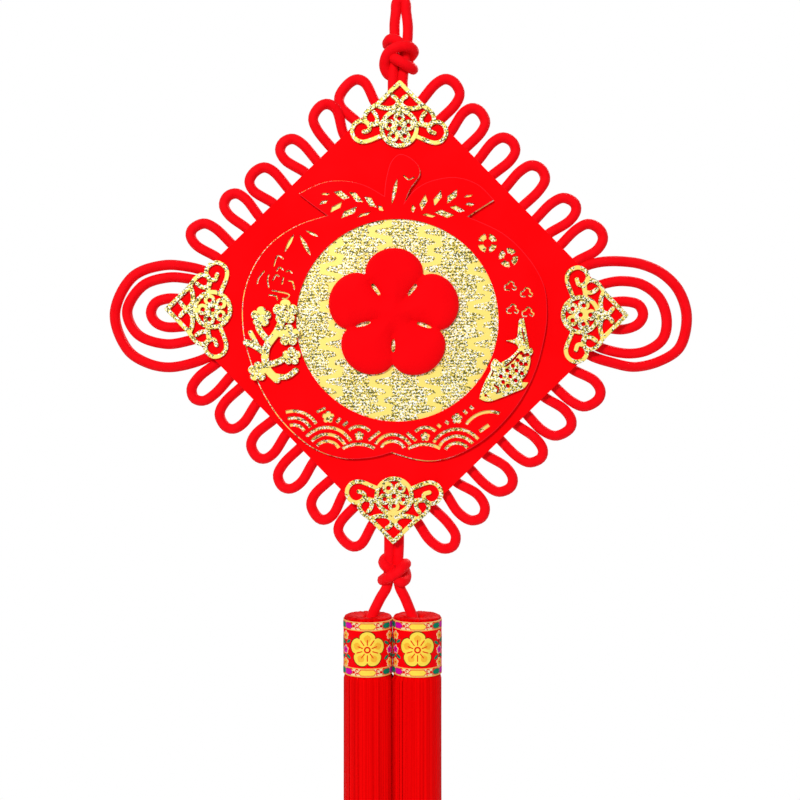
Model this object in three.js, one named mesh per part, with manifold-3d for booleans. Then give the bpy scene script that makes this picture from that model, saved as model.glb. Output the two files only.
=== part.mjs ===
// A knotted hanging ornament: one red cord is woven into a square knot that hangs on its corner,
// with loops along its four edges and three nested ears at its left and right corners. A flocked
// board covers the front of the weave. It carries a glitter sheet, an apple-shaped sheet with cut
// slots, a puffy blossom, a gilt sprig, a gilt carp and four gilt corner pieces. Below hang two
// tassels with brocade cuffs. The front faces -Y, +Z is up, and the origin is the inner top of
// the hanging loop.

import * as THREE from 'three';
import { mergeVertices } from 'three/addons/utils/BufferGeometryUtils.js';
import Module from 'manifold-3d';

// Driving dimensions, in millimetres and degrees

const GAP = 0.3;
const CORD_WIDTH = 5.8;

const BOARD_SIDE = 190;
const BOARD_CENTRE = { x: -2.6, z: -178.1 };
const BOARD_TURN = 0.8;
const BOARD_THICK = 2;

const WEAVE = { side: 186, thick: 11, strands: 16, hollow: 3.4, rim: 1.8 };

const GLITTER = { thick: 1.2, shiftX: -0.6, turn: -0.4 };
const APPLE = { thick: 1.5, discX: 0.5, discZ: -4.7, discRadius: 58.8 };
const GILT_THICK = 1.4;
const BLOSSOM = { x: -1.7, z: -1.2, petals: 5, tip: 39, notch: 27, thick: 6, crown: 3.2, turn: 90 };
const BLOSSOM_SLIT = { from: 11, to: 25, width: 2.4 };

const EDGE_ROOT = 90;
const EDGE_BULGE = 108.5;
// Where a loop's shoulder lies between its bulge and its tip: along the edge and outward
const SHOULDER = { share: 0.72, rise: 0.74 };
const LOOP_TUBE = { sides: 5, steps: 9 };
const CORD_SIDES = 6;
const CORNER_OVERHANG = 0.85;

const TASSEL = { radius: 14, top: -353.5, length: 300, apart: 28.5, middle: -4.9 };
const CUFF = { height: 31.2, thick: 1, drop: 1.9 };
const STRANDS = { rings: 4, pitch: 3.1, width: 2.6, uneven: 2 };

const RED_CORD = { color: 0xf5081c, roughness: 0.55, metalness: 0 };
const RED_FLOCK = { color: 0xf00012, roughness: 0.95, metalness: 0 };
const GOLD_GLITTER = { color: 0xe0cf7a, roughness: 0.35, metalness: 0.6 };
const BROCADE = { color: 0xd8a040, roughness: 0.5, metalness: 0.1 };
const RED_THREAD = { color: 0xdc0208, roughness: 0.6, metalness: 0 };

// Distances of each layer's back in front of the cord's own plane

const CORD_RADIUS = CORD_WIDTH / 2;
const BOARD_BACK = WEAVE.thick / 2 + GAP;
const GLITTER_BACK = BOARD_BACK + BOARD_THICK + GAP;
const APPLE_BACK = GLITTER_BACK + GLITTER.thick + GAP;
const GILT_BACK = APPLE_BACK + APPLE.thick + GAP;

// Solids

const wasm = await Module();
wasm.setup();

function cleaned(geometry) {
  geometry.deleteAttribute('normal');
  geometry.deleteAttribute('uv');
  const merged = mergeVertices(geometry, 1e-4);
  const corners = merged.index.array;
  const kept = [];
  for (let i = 0; i < corners.length; i += 3) {
    const [a, b, c] = [corners[i], corners[i + 1], corners[i + 2]];
    if (a !== b && b !== c && a !== c) kept.push(a, b, c);
  }
  merged.setIndex(kept);
  return merged;
}

function solid(geometry) {
  const clean = cleaned(geometry);
  const vertProperties = new Float32Array(clean.attributes.position.array);
  const triVerts = new Uint32Array(clean.index.array);
  return new wasm.Manifold(new wasm.Mesh({ numProp: 3, vertProperties, triVerts }));
}

function geometryOf(body) {
  const mesh = body.getMesh();
  const geometry = new THREE.BufferGeometry();
  geometry.setAttribute('position', new THREE.BufferAttribute(mesh.vertProperties, 3));
  geometry.setIndex(new THREE.BufferAttribute(mesh.triVerts, 1));
  return geometry;
}

function fuse(geometries) {
  return geometries.map(solid).reduce((joined, next) => joined.add(next));
}

// The one body of a join, without the crumbs that nearly touching faces leave
function largest(body) {
  return body.decompose().reduce((best, next) => (next.volume() > best.volume() ? next : best));
}

function named(name, geometry, finish) {
  const mesh = new THREE.Mesh(geometry, new THREE.MeshStandardMaterial(finish));
  mesh.name = name;
  return mesh;
}

// Flat shapes lie in X and Z, and a plate's thickness runs forward from its back

const vec = ([x, z]) => new THREE.Vector2(x, z);

function plate(shape, back, thick) {
  const geometry = new THREE.ExtrudeGeometry(shape, { depth: thick, bevelEnabled: false });
  return geometry.rotateX(Math.PI / 2).translate(0, -back, 0);
}

// A plate with slots cut through it, each slot given as its corners
function cutPlate(points, slots, back, thick) {
  const cutters = slots.map((slot) => plate(new THREE.Shape(slot), back - 1, thick + 2));
  const body = solid(plate(new THREE.Shape(points), back, thick)).subtract(fuse(cutters));
  return geometryOf(largest(body));
}

function smooth(points, steps) {
  return new THREE.SplineCurve(points.map(vec)).getPoints(steps);
}

function outline(stretches, stepsPerSpan) {
  const points = [];
  for (const stretch of stretches) {
    const steps = stretch.length === 2 ? 1 : (stretch.length - 1) * stepsPerSpan;
    points.push(...smooth(stretch, steps).slice(0, -1));
  }
  return points;
}

// A band of even width along a smooth line, with blunt round ends
function ribbon(points, width, steps = points.length - 1) {
  const curve = new THREE.SplineCurve(points.map(vec));
  const left = [];
  const right = [];
  for (let i = 0; i <= steps; i += 1) {
    const at = curve.getPoint(i / steps);
    const along = curve.getTangent(i / steps);
    const across = new THREE.Vector2(-along.y, along.x).multiplyScalar(width / 2);
    if (i === 0) left.push(at.clone().addScaledVector(along, -width / 3));
    left.push(at.clone().add(across));
    right.unshift(at.clone().sub(across));
    if (i === steps) left.push(at.clone().addScaledVector(along, width / 3));
  }
  return new THREE.Shape([...left, ...right]);
}

function mirrored(points) {
  return points.map(([x, z]) => [-x, z]);
}

// A slot bent round a centre
function arcSlot(x, z, radius, width, fromDegrees, toDegrees, steps = 3) {
  const points = [];
  const ends = [radius + width / 2, radius - width / 2];
  ends.forEach((r, side) => {
    for (let i = 0; i <= steps; i += 1) {
      const share = side === 0 ? i / steps : 1 - i / steps;
      const a = THREE.MathUtils.degToRad(fromDegrees + (toDegrees - fromDegrees) * share);
      points.push(new THREE.Vector2(x + r * Math.cos(a), z + r * Math.sin(a)));
    }
  });
  return points;
}

// A slot with straight sides, its middle, length, width and slant given
function barSlot(x, z, length, width, slantDegrees, lean = 0) {
  const a = THREE.MathUtils.degToRad(slantDegrees);
  const corners = [[-length / 2, -width / 2], [length / 2 - lean, -width / 2],
    [length / 2, width / 2], [-length / 2 + lean, width / 2]];
  return corners.map(([u, v]) => new THREE.Vector2(
    x + u * Math.cos(a) - v * Math.sin(a), z + u * Math.sin(a) + v * Math.cos(a)));
}

// A pointed leaf-shaped slot
function leafSlot(x, z, length, width, slantDegrees) {
  const a = THREE.MathUtils.degToRad(slantDegrees);
  const side = [[-0.5, 0], [-0.2, 0.4], [0.15, 0.5], [0.5, 0], [0.15, -0.5], [-0.2, -0.4]];
  return side.map(([u, v]) => new THREE.Vector2(
    x + u * length * Math.cos(a) - v * width * Math.sin(a),
    z + u * length * Math.sin(a) + v * width * Math.cos(a)));
}

function lobedPoints(x, z, tip, notch, petals, turnDegrees, stepsPerPetal, bluntness = 0.55) {
  const points = [];
  const count = petals * stepsPerPetal;
  for (let i = 0; i < count; i += 1) {
    const a = (i / count) * 2 * Math.PI;
    const swell = Math.abs(Math.cos(a * petals / 2)) ** bluntness;
    const r = notch + (tip - notch) * swell;
    const turned = a + THREE.MathUtils.degToRad(turnDegrees);
    points.push(new THREE.Vector2(x + r * Math.cos(turned), z + r * Math.sin(turned)));
  }
  return points;
}

// Round cord

function tube(points, radius, sides, steps) {
  // An even polygon of the same area as the round section
  const reach = radius * Math.sqrt((2 * Math.PI / sides) / Math.sin(2 * Math.PI / sides));
  const section = new THREE.Shape();
  for (let i = 0; i < sides; i += 1) {
    const a = ((i + 0.5) / sides) * 2 * Math.PI;
    const corner = [reach * Math.cos(a), reach * Math.sin(a)];
    if (i === 0) section.moveTo(...corner);
    else section.lineTo(...corner);
  }
  const route = points.map(([x, y, z]) => new THREE.Vector3(x, y, z));
  const extrudePath = new THREE.CatmullRomCurve3(route, false, 'centripetal');
  return new THREE.ExtrudeGeometry(section, { steps, extrudePath, bevelEnabled: false });
}

// The frame of the board, as it hangs a little turned

const boardFrame = new THREE.Matrix4().makeRotationY(THREE.MathUtils.degToRad(BOARD_TURN))
  .setPosition(BOARD_CENTRE.x, 0, BOARD_CENTRE.z);

// The outlines are as seen from straight in front, level with the middle of the ornament, where a
// nearer layer looks larger. Each layer is drawn smaller by that
const SEEN = { distance: 660, x: -0.6, z: -229.1 };

function onBoard(name, geometry, finish, face) {
  const share = 1 - face / SEEN.distance;
  const smaller = new THREE.Matrix4().makeScale(share, 1, share)
    .setPosition(SEEN.x * (1 - share), 0, SEEN.z * (1 - share));
  return named(name, geometry.applyMatrix4(boardFrame).applyMatrix4(smaller), finish);
}

// Each edge has six loops. Columns, measured along the edge from its middle: left foot, left
// bulge, tip, right bulge, right foot, the tip's distance from the board's centre, and how far
// the tip leans forward
const EDGE_LOOPS = {
  upperLeft: { outward: 135, rows: [
    [-52.5, -56.2, -51.4, -41.6, -41.1, 116.7, 1],
    [-28.4, -30.4, -23.5, -17.0, -18.5, 116.6, -1],
    [-7.3, -10.5, -2.9, 5.6, 4.9, 115.4, 1],
    [18.4, 15.2, 21.4, 28.8, 28.0, 116.5, -1],
    [39.4, 40.7, 50.7, 56.7, 49.9, 115.7, 3],
    [60.4, 60.2, 73.4, 79.9, 75.7, 115.0, -3],
  ] },
  upperRight: { outward: 45, rows: [
    [-77.7, -78.9, -71.7, -62.5, -62.4, 116.5, 1],
    [-52.9, -55.9, -50.2, -40.7, -40.3, 116.0, -1],
    [-30.1, -31.6, -24.1, -17.0, -18.2, 116.7, 1],
    [-7.6, -8.6, -1.0, 7.1, 7.0, 118.2, -1],
    [17.7, 17.5, 26.6, 32.0, 29.0, 117.8, 1],
    [38.5, 38.4, 47.5, 55.2, 51.7, 118.1, -1],
  ] },
  lowerRight: { outward: -45, rows: [
    [-50.1, -54.4, -48.2, -36.7, -35.6, 117.7, 1],
    [-27.1, -30.4, -25.0, -12.9, -12.8, 118.6, -1],
    [-4.3, -6.7, -1.2, 8.3, 8.5, 118.9, 1],
    [20.6, 17.2, 23.4, 32.7, 32.8, 119.0, -1],
    [43.8, 40.1, 47.4, 55.3, 52.9, 119.7, 1],
    [64.2, 63.9, 71.3, 78.4, 76.1, 120.2, -1],
  ] },
  lowerLeft: { outward: -135, rows: [
    [-78.4, -82.1, -74.5, -64.8, -64.0, 114.2, 1],
    [-54.0, -58.6, -54.3, -42.9, -43.0, 115.8, -1],
    [-28.8, -32.2, -26.5, -17.5, -17.4, 117.8, 1],
    [-6.1, -9.0, -3.5, 6.1, 5.1, 116.6, -1],
    [18.6, 15.7, 21.4, 31.7, 31.6, 117.2, 1],
    [40.3, 39.5, 46.0, 53.0, 51.4, 119.1, -1],
  ] },
};

// The ears, nested round the left and right corners, in the board's frame: across and up
const EARS = {
  leftOuter: [[-107.4, 21.1], [-120.2, 24.4], [-135.7, 25.2], [-153.3, 18.3], [-163.3, -3.3],
    [-155.7, -23.9], [-145.5, -31.0], [-131.9, -33.9], [-114.2, -30.0], [-103, -24.4]],
  leftMiddle: [[-111.9, 15.8], [-121.2, 17.7], [-132.6, 18.2], [-147.3, 13.2], [-156.2, -1.7],
    [-149.9, -15.0], [-133.6, -20.4], [-120.3, -18.3], [-112.1, -15.5]],
  leftInner: [[-119.9, 5.3], [-132.5, 6.0], [-139.9, 3.3], [-142.4, -2.3],
    [-140.0, -7.5], [-133.7, -10.5], [-118, -9.5]],
  rightOuter: [[103, 22.5], [108.3, 27.6], [117.6, 30.6], [130.1, 31.2], [142.5, 29.5], [154.5, 24.0],
    [163.6, 14.5], [168.3, -0.4], [164.4, -18.2], [153.7, -26.0], [138.6, -29.9], [125.3, -27.6],
    [113.1, -23.7], [107.5, -19.5]],
  rightMiddle: [[112.5, 14], [115.4, 16.1], [121.8, 18.5], [130.2, 19.8], [142.1, 18.0], [152.4, 10.0],
    [156.7, -2.3], [154.7, -13.3], [146.1, -20.0], [135.6, -22.2], [121.3, -19.9], [111, -15.5]],
  rightInner: [[120, 6], [124, 7.2], [132.8, 8.0], [140.5, 6.0], [143.0, 0.4], [140.1, -5.0],
    [131.8, -8.2], [119, -7]],
};

// Cord routes of the hanging loop and the two connecting knots, chosen by hand: x, y and z
const TOP_ROUTES = {
  loopLeft: [[-4.7, 0, -54], [-4.7, 0, -44], [-4.2, 0, -30], [-3.7, 0, -18], [-3.7, 0, -11],
    [-2.95, 0, -3.5],
    [-2.9, 0, -0.2], [-2.1, 0, 2.0], [0.2, 0, 2.9]],
  loopRight: [[1.0, 0, -54], [1.0, 0, -44], [2.4, 0, -30], [3.9, 0, -18], [3.9, 0, -11], [2.95, 0, -3.5],
    [2.9, 0, -0.2], [2.1, 0, 2.0], [-0.2, 0, 2.9]],
  wideBand: [[-3.6, 1.5, -41.5], [-7.6, 0.8, -40], [-9.7, -1.4, -35.4], [-7.5, -4.8, -29.3],
    [-2.3, -6.2, -26.4],
    [4.1, -5.6, -25.8], [7.5, -1.2, -27.3], [4.1, 4.5, -30.2], [-2.3, 5.2, -34.4], [-4, 2, -38]],
  shortBar: [[-4.4, -1, -30.8], [-3.4, -5, -32.6], [2.3, -6.0, -36.0], [6.9, -2.0, -37.9], [6.0, 2.8, -35.4],
    [1.2, 5.6, -29.6], [-4.6, 4.8, -24.4], [-8.0, 0.5, -22.6], [-5.6, -4.2, -21.0],
    [-1.4, -4.4, -22.8], [-0.6, -1, -25]],
};
const BOTTOM_ROUTES = {
  leftLeg: [[-6.8, 0, -303], [-6.8, 0, -313], [-7.0, 0, -325], [-8.1, 0, -337], [-11.9, 0, -343.9],
    [-15.7, 0, -351.5], [-17.6, 0, -356.1], [-18.4, 0, -360.5]],
  rightLeg: [[-1.3, 0, -303], [-1.3, 0, -313], [-1.7, 0, -325], [-0.9, 0, -337], [2.3, 0, -343.9],
    [5.4, 0, -351.5], [7.2, 0, -356.1], [8.0, 0, -360.5]],
  longBand: [[-7, 1.5, -331], [-10.9, 0.4, -333.6], [-8.1, -4.8, -331.8], [-4.1, -6.2, -329.4],
    [0, -5.6, -326.5],
    [2.9, -1.5, -323.9], [0.6, 3.8, -325.4], [-3.4, 4.6, -328.6]],
  sideWraps: [[-5.0, -2.2, -327.2], [-8.4, -3.6, -325.4], [-10.3, 0, -322.9], [-7.5, 4.2, -320.7],
    [-2.3, 5.8, -322.5],
    [1.9, 4.2, -327.7], [3.0, 0.2, -332.2], [0.3, -4.4, -334.0], [-3.0, -4.0, -332.0]],
};

function edgeLoop(outward, [footA, bulgeA, tip, bulgeB, footB, reach, lean]) {
  const a = THREE.MathUtils.degToRad(outward);
  const shoulder = (bulge) => tip + (bulge - tip) * SHOULDER.share;
  const high = EDGE_BULGE + (reach - EDGE_BULGE) * SHOULDER.rise;
  const flat = [
    [footA, EDGE_ROOT, 0], [footA, BOARD_SIDE / 2, 0], [bulgeA, EDGE_BULGE, 0.6],
    [shoulder(bulgeA), high, 0.9], [tip, reach, 1], [shoulder(bulgeB), high, 0.9],
    [bulgeB, EDGE_BULGE, 0.6], [footB, BOARD_SIDE / 2, 0], [footB, EDGE_ROOT, 0],
  ];
  return flat.map(([s, h, share]) => [
    h * Math.cos(a) + s * Math.sin(a), -lean * share, h * Math.sin(a) - s * Math.cos(a)]);
}

// The woven middle, its back raised where one strand crosses over another
function wovenPad() {
  const { side, thick, strands: cells, hollow, rim: rimSink } = WEAVE;
  const sink = (i, j) => {
    if (i === 0 || j === 0 || i === cells || j === cells) return rimSink;
    return (i + j) % 2 === 1 ? hollow : 0;
  };
  const positions = [];
  for (let j = 0; j <= cells; j += 1) {
    for (let i = 0; i <= cells; i += 1) {
      positions.push((i / cells - 0.5) * side, (j / cells - 0.5) * side, thick / 2 - sink(i, j));
    }
  }
  const at = (i, j) => j * (cells + 1) + i;
  const index = [];
  for (let j = 0; j < cells; j += 1) {
    for (let i = 0; i < cells; i += 1) {
      index.push(at(i, j), at(i + 1, j), at(i + 1, j + 1), at(i, j), at(i + 1, j + 1), at(i, j + 1));
    }
  }
  const rim = [];
  for (let i = 0; i < cells; i += 1) rim.push(at(i, 0));
  for (let j = 0; j < cells; j += 1) rim.push(at(cells, j));
  for (let i = cells; i > 0; i -= 1) rim.push(at(i, cells));
  for (let j = cells; j > 0; j -= 1) rim.push(at(0, j));
  const front = positions.length / 3;
  for (const corner of rim) positions.push(positions[corner * 3], positions[corner * 3 + 1], -thick / 2);
  const centre = front + rim.length;
  positions.push(0, 0, -thick / 2);
  rim.forEach((corner, k) => {
    const next = (k + 1) % rim.length;
    index.push(corner, front + k, rim[next], rim[next], front + k, front + next);
    index.push(centre, front + next, front + k);
  });
  const geometry = new THREE.BufferGeometry();
  geometry.setAttribute('position', new THREE.Float32BufferAttribute(positions, 3));
  geometry.setIndex(index);
  return geometry.rotateX(-Math.PI / 2).rotateY(Math.PI / 4);
}

function knotCord() {
  const pieces = [wovenPad()];
  for (const { outward, rows } of Object.values(EDGE_LOOPS)) {
    for (const row of rows) {
      pieces.push(tube(edgeLoop(outward, row), CORD_RADIUS, LOOP_TUBE.sides, LOOP_TUBE.steps));
    }
  }
  for (const route of Object.values(EARS)) {
    pieces.push(tube(route.map(([x, z]) => [x, 0, z]), CORD_RADIUS, CORD_SIDES, route.length + 1));
  }
  for (const piece of pieces) piece.applyMatrix4(boardFrame);
  for (const route of [...Object.values(TOP_ROUTES), ...Object.values(BOTTOM_ROUTES)]) {
    pieces.push(tube(route, CORD_RADIUS, CORD_SIDES, route.length + 1));
  }
  return named('knot_cord', geometryOf(largest(fuse(pieces))), RED_CORD);
}

// The board and the sheets on it, in the board's frame

function diamondBoard() {
  const half = BOARD_SIDE / Math.SQRT2;
  const shape = new THREE.Shape([[half, 0], [0, half], [-half, 0], [0, -half]].map(vec));
  return cleaned(plate(shape, BOARD_BACK, BOARD_THICK));
}

// The apple's outline in smooth stretches that meet at corners: across and up
const APPLE_OUTLINE = [
  [[-1.6, -81.3], [12, -85.0], [25, -85.6], [41, -80.2], [57, -69], [71.2, -52.5], [81, -33], [86.4, -11],
    [87.2, 5], [84.6, 18.5], [75.5, 33.2], [61, 46.6], [40.4, 56]],
  [[40.4, 56], [48, 61.2], [55.5, 66]],
  [[55.5, 66], [46, 74.8], [33, 78.7], [19, 76.4], [9.5, 71], [4, 64]],
  [[4, 64], [6.8, 71.5], [12.4, 80.5], [9.6, 87.4], [1.4, 91.7], [-4.4, 87], [-7.3, 76], [-8, 67.2]],
  [[-8, 67.2], [-20, 73.5], [-33, 75.7], [-45, 74], [-57.8, 67.7]],
  [[-57.8, 67.7], [-50, 61.8], [-40.8, 55.4]],
  [[-40.8, 55.4], [-58, 49.4], [-73, 39], [-83.2, 24.8], [-88.8, 7], [-88.4, -13], [-83.6, -31],
    [-76.4, -48],
    [-64.2, -65.3], [-47.5, -79.2], [-30, -85.2], [-13.5, -84.6], [-1.6, -81.3]],
];

// Slots beside each leaf's midrib, for the left leaf: middle x, middle z, length, width, slant
const LEAF_SLOTS = [
  [-42.2, 68.0, 5.6, 1.3, -6], [-32.8, 67.6, 9.8, 3.4, -38], [-24.4, 66.4, 9.8, 3.0, -52],
  [-16.2, 63.8, 9.2, 3.2, -60], [-10.2, 60.2, 4.4, 2.2, -68], [-43.2, 63.2, 5.6, 1.9, 12],
  [-36, 60.4, 9.2, 2.7, 28], [-28.4, 57.5, 11.6, 3.2, 22], [-19.6, 56.4, 8.6, 1.6, 14],
];
const LEAF_MIRROR = -1.5;
const LEAF_LEAN = 0.28;

// Pointed slots, three bamboo leaves and the line up the stalk: middle x, middle z, length, width, slant
const POINTED_SLOTS = [
  [-63.0, 38.9, 12.6, 2.1, 63], [-53.6, 38.1, 14.0, 2.3, -61], [-49.6, 44.9, 8.8, 1.7, -26],
  [-2.2, 70.0, 15.6, 2.3, 79],
];

// Coins: middle x, middle z, radius, turn
const COINS = [[52.2, 40.8, 6.1, 0], [64.4, 32.6, 6.1, 24]];

// Wave fans: middle x, middle z, start and end of the arcs, then the radius of each arc
const WAVE_FANS = [
  [-58.8, -73.6, 108, 32, 15.4, 11.4, 7.4],
  [-39.2, -83.2, 140, 30, 15.8, 11.8, 7.8],
  [-20.7, -94.9, 122, 60, 18],
  [-20.9, -75.2, 132, 44, 8.6],
  [-1.2, -82.6, 150, 30, 11.6, 7.8],
  [17.4, -94.4, 122, 60, 18],
  [17.9, -75.0, 136, 48, 8.4],
  [36.2, -83.2, 150, 40, 15.8, 11.8, 7.8],
  [55.4, -74.0, 146, 72, 17],
];
const WAVE_SLOT_WIDTH = 1.9;

// Small straight slots between the fans: middle x, middle z, length, width, slant
const SMALL_BARS = [
  [-43, -57.4, 5.6, 1.7, 26], [-32.8, -63.2, 3.4, 1.9, 52], [-28.8, -65.2, 3.6, 1.9, 44],
  [-12, -72, 8.2, 1.8, 38], [9.7, -72.2, 7, 1.8, -40], [25.6, -65.6, 2.6, 1.8, -42],
  [30.2, -63.6, 2.6, 1.8, -36], [40.6, -57.4, 3, 1.8, -44], [44.3, -54.8, 2.8, 1.8, -40],
  [51.8, -66.6, 6.6, 2.2, 36],
];

// Five-lobed slots: middle x, middle z, radius
const SMALL_FLOWERS = [[-20.7, -72.1, 2.8], [-38.9, -61.4, 3.6], [17.6, -72.0, 2.8], [35.9, -61.2, 3.2]];

function coinSlots([x, z, radius, turn]) {
  return [45, 135, 225, 315].map((middle) => arcSlot(x, z, radius * 0.66, radius * 0.52,
    middle + turn - 32, middle + turn + 32, 2));
}

function applePlate() {
  const { discX, discZ, discRadius } = APPLE;
  const slots = [lobedPoints(discX, discZ, discRadius, discRadius, 1, 0, 40)];
  for (const [x, z, length, width, slant] of LEAF_SLOTS) {
    const lean = length * LEAF_LEAN;
    slots.push(barSlot(x, z, length, width, slant, lean));
    slots.push(barSlot(LEAF_MIRROR - x, z, length, width, 180 - slant, lean).reverse());
  }
  for (const row of POINTED_SLOTS) slots.push(leafSlot(...row));
  for (const row of COINS) slots.push(...coinSlots(row));
  for (const [x, z, from, to, ...radii] of WAVE_FANS) {
    for (const radius of radii) slots.push(arcSlot(x, z, radius, WAVE_SLOT_WIDTH, from, to));
  }
  for (const row of SMALL_BARS) slots.push(barSlot(...row));
  for (const [x, z, radius] of SMALL_FLOWERS) slots.push(lobedPoints(x, z, radius, radius * 0.7, 5, 90, 2));
  return cutPlate(outline(APPLE_OUTLINE, 2), slots, APPLE_BACK, APPLE.thick);
}

function glitterPlate() {
  const a = THREE.MathUtils.degToRad(GLITTER.turn);
  const points = outline(APPLE_OUTLINE, 2).map(({ x, y }) => new THREE.Vector2(
    x * Math.cos(a) - y * Math.sin(a) + GLITTER.shiftX, x * Math.sin(a) + y * Math.cos(a)));
  return plate(new THREE.Shape(points), GLITTER_BACK, GLITTER.thick);
}

// The puffy blossom: a crowned plate with a flat back, and slits that show the glitter
function puffyBlossom() {
  const { x, z, petals, tip, notch, thick, crown, turn } = BLOSSOM;
  const shape = new THREE.Shape(lobedPoints(0, 0, tip, notch, petals, 0, 8));
  const domed = new THREE.ExtrudeGeometry(shape, {
    depth: thick - crown, bevelThickness: crown, bevelSize: crown, bevelOffset: -crown, bevelSegments: 2,
  });
  const backCut = new THREE.BoxGeometry(tip * 3, tip * 3, crown * 2).translate(0, 0, -crown);
  let body = solid(domed).subtract(solid(backCut));
  for (let k = 0; k < petals; k += 1) {
    const middle = (BLOSSOM_SLIT.from + BLOSSOM_SLIT.to) / 2;
    const slit = new THREE.Shape(leafSlot(0, 0, BLOSSOM_SLIT.to - BLOSSOM_SLIT.from, BLOSSOM_SLIT.width, 0));
    const cutter = new THREE.ExtrudeGeometry(slit, { depth: thick * 3, bevelEnabled: false });
    cutter.translate(middle, 0, -thick).rotateZ((2 * Math.PI * (k + 0.5)) / petals);
    body = body.subtract(solid(cutter));
  }
  const geometry = geometryOf(body).rotateZ(THREE.MathUtils.degToRad(turn)).rotateX(Math.PI / 2);
  return geometry.translate(x, -APPLE_BACK, z);
}

// One gilt corner piece, its apex at the origin and pointing up: half of its bands, the other
// half mirrored. Columns: width, then the points of the band's middle line
const CORNER_BANDS = [
  [2.6, [[0, -1.9], [-13.1, -14.6]]],
  [2.4, [[-12.0, -14.6], [-17.1, -17.4], [-20.9, -21.8], [-19.2, -26], [-14.4, -25.8], [-14.2, -20.8]]],
  [2.6, [[-14.2, -15.2], [-10.4, -16.2], [-6.4, -16.9], [0, -15.9]]],
  [2.4, [[-0.4, -17.4], [-1.2, -12.4], [-3.9, -9.8]]],
  [2.4, [[-10.0, -33], [-18.6, -36.2], [-26.0, -34.8], [-27.8, -28.6], [-23.0, -24.6], [-18.6, -27.4],
    [-21.0, -30.8]]],
  [2.6, [[-17.6, -26.4], [-10.2, -25.6]]],
];
const ROUNDEL = { z: -28.4, outer: 11.4, inner: 8.7, petalTip: 9.2, petalNotch: 4.6, eye: 1.5 };

function cornerPiece() {
  const shapes = [];
  for (const [width, points] of CORNER_BANDS) {
    shapes.push(ribbon(points, width), ribbon(mirrored(points), width));
  }
  const { z, outer, inner, petalTip, petalNotch, eye } = ROUNDEL;
  const ring = new THREE.Shape(lobedPoints(0, z, outer, outer, 1, 0, 16));
  ring.holes.push(new THREE.Path(lobedPoints(0, z, inner, inner, 1, 0, 12)));
  const flower = new THREE.Shape(lobedPoints(0, z, petalTip, petalNotch, 5, 90, 2));
  flower.holes.push(new THREE.Path(lobedPoints(0, z, eye, eye, 1, 0, 5)));
  shapes.push(ring, flower, ribbon([[0, -16], [0, -19.5]], 2));
  return geometryOf(fuse(shapes.map((shape) => plate(shape, GLITTER_BACK, GILT_THICK))));
}

// The sprig of blossoms. Columns: width, then the points of the band's middle line
const SPRIG_BANDS = [
  [4.4, [[-69, -40], [-75, -33], [-75.4, -22], [-69, -12], [-65, -2]]],
  [3.8, [[-75.5, -25], [-82, -20.6], [-87, -18.8]]],
  [3.6, [[-74, -18], [-80, -10], [-78, -3]]],
  [3.6, [[-76, -32], [-68, -29.6], [-61, -25]]],
  [3.2, [[-73, -37.4], [-64, -38.5], [-58, -34.6]]],
  [3.4, [[-70, -13.6], [-62, -13.6]]],
  [3.4, [[-76, -33], [-80.8, -36]]],
  [2.8, [[-81, -19.6], [-84.6, -13]]],
];
// Blossoms of the sprig: middle x, middle z, radius
const SPRIG_BLOSSOMS = [[-64.6, -0.8, 7.4], [-62.4, -14.4, 6.4], [-78.6, -3.8, 6.0], [-80, -35.6, 5.8],
  [-60.6, -26.4, 5.4]];

function sprigPlate() {
  const shapes = SPRIG_BANDS.map(([width, points]) => ribbon(points, width));
  for (const [x, z, radius] of SPRIG_BLOSSOMS) {
    const flower = new THREE.Shape(lobedPoints(x, z, radius, radius * 0.66, 5, 90, 3));
    flower.holes.push(new THREE.Path(lobedPoints(x, z, radius * 0.22, radius * 0.22, 1, 0, 5)));
    shapes.push(flower);
  }
  return geometryOf(fuse(shapes.map((shape) => plate(shape, GILT_BACK, GILT_THICK))));
}

// The leaping carp's outline in smooth stretches that meet at corners: across and up
const CARP_OUTLINE = [
  [[48.7, -49.6], [54, -51.2], [62, -48.6], [69.5, -45.4]],
  [[69.5, -45.4], [74.4, -43.2], [77, -39.8]],
  [[77, -39.8], [73.2, -39.0], [76.2, -34.4], [78, -28], [77.9, -24.6]],
  [[77.9, -24.6], [79.5, -22], [78.6, -19.6], [77.4, -20.4]],
  [[77.4, -20.4], [75.8, -12], [73.8, -2.2]],
  [[73.8, -2.2], [71.2, -3.6], [70.6, -9], [69.6, -14.2], [63.4, -15.6]],
  [[63.4, -15.6], [69, -17.4], [70.8, -20.2], [66, -25.4], [60.6, -28.6]],
  [[60.6, -28.6], [57.4, -26.2], [55.2, -29.6], [55.3, -32.9]],
  [[55.3, -32.9], [52.4, -38.4], [49.6, -45.4], [48.7, -49.6]],
];
// The middle of its body from head to tail, how far its outer rows of scales lie from that, its eye,
// and the gill and back slits, each with its width
const CARP_SPINE = [[58.6, -42.4], [64.6, -38], [70, -33], [73.6, -26.6], [75, -19.6]];
const CARP_ROWS = [3.4, 3.8, 3.4, 2.7, 1.8];
const CARP_SCALE = { length: 2.4, width: 1.8, stagger: 0.9 };
const CARP_EYE = { x: 52.4, z: -47.6, radius: 0.9 };
const CARP_SLITS = [
  [1.2, [[57.4, -41.6], [59.6, -43.2], [59.2, -45.4]]], [1.2, [[64.2, -30.2], [67.4, -27.5], [71.2, -22.9]]],
];

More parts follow.
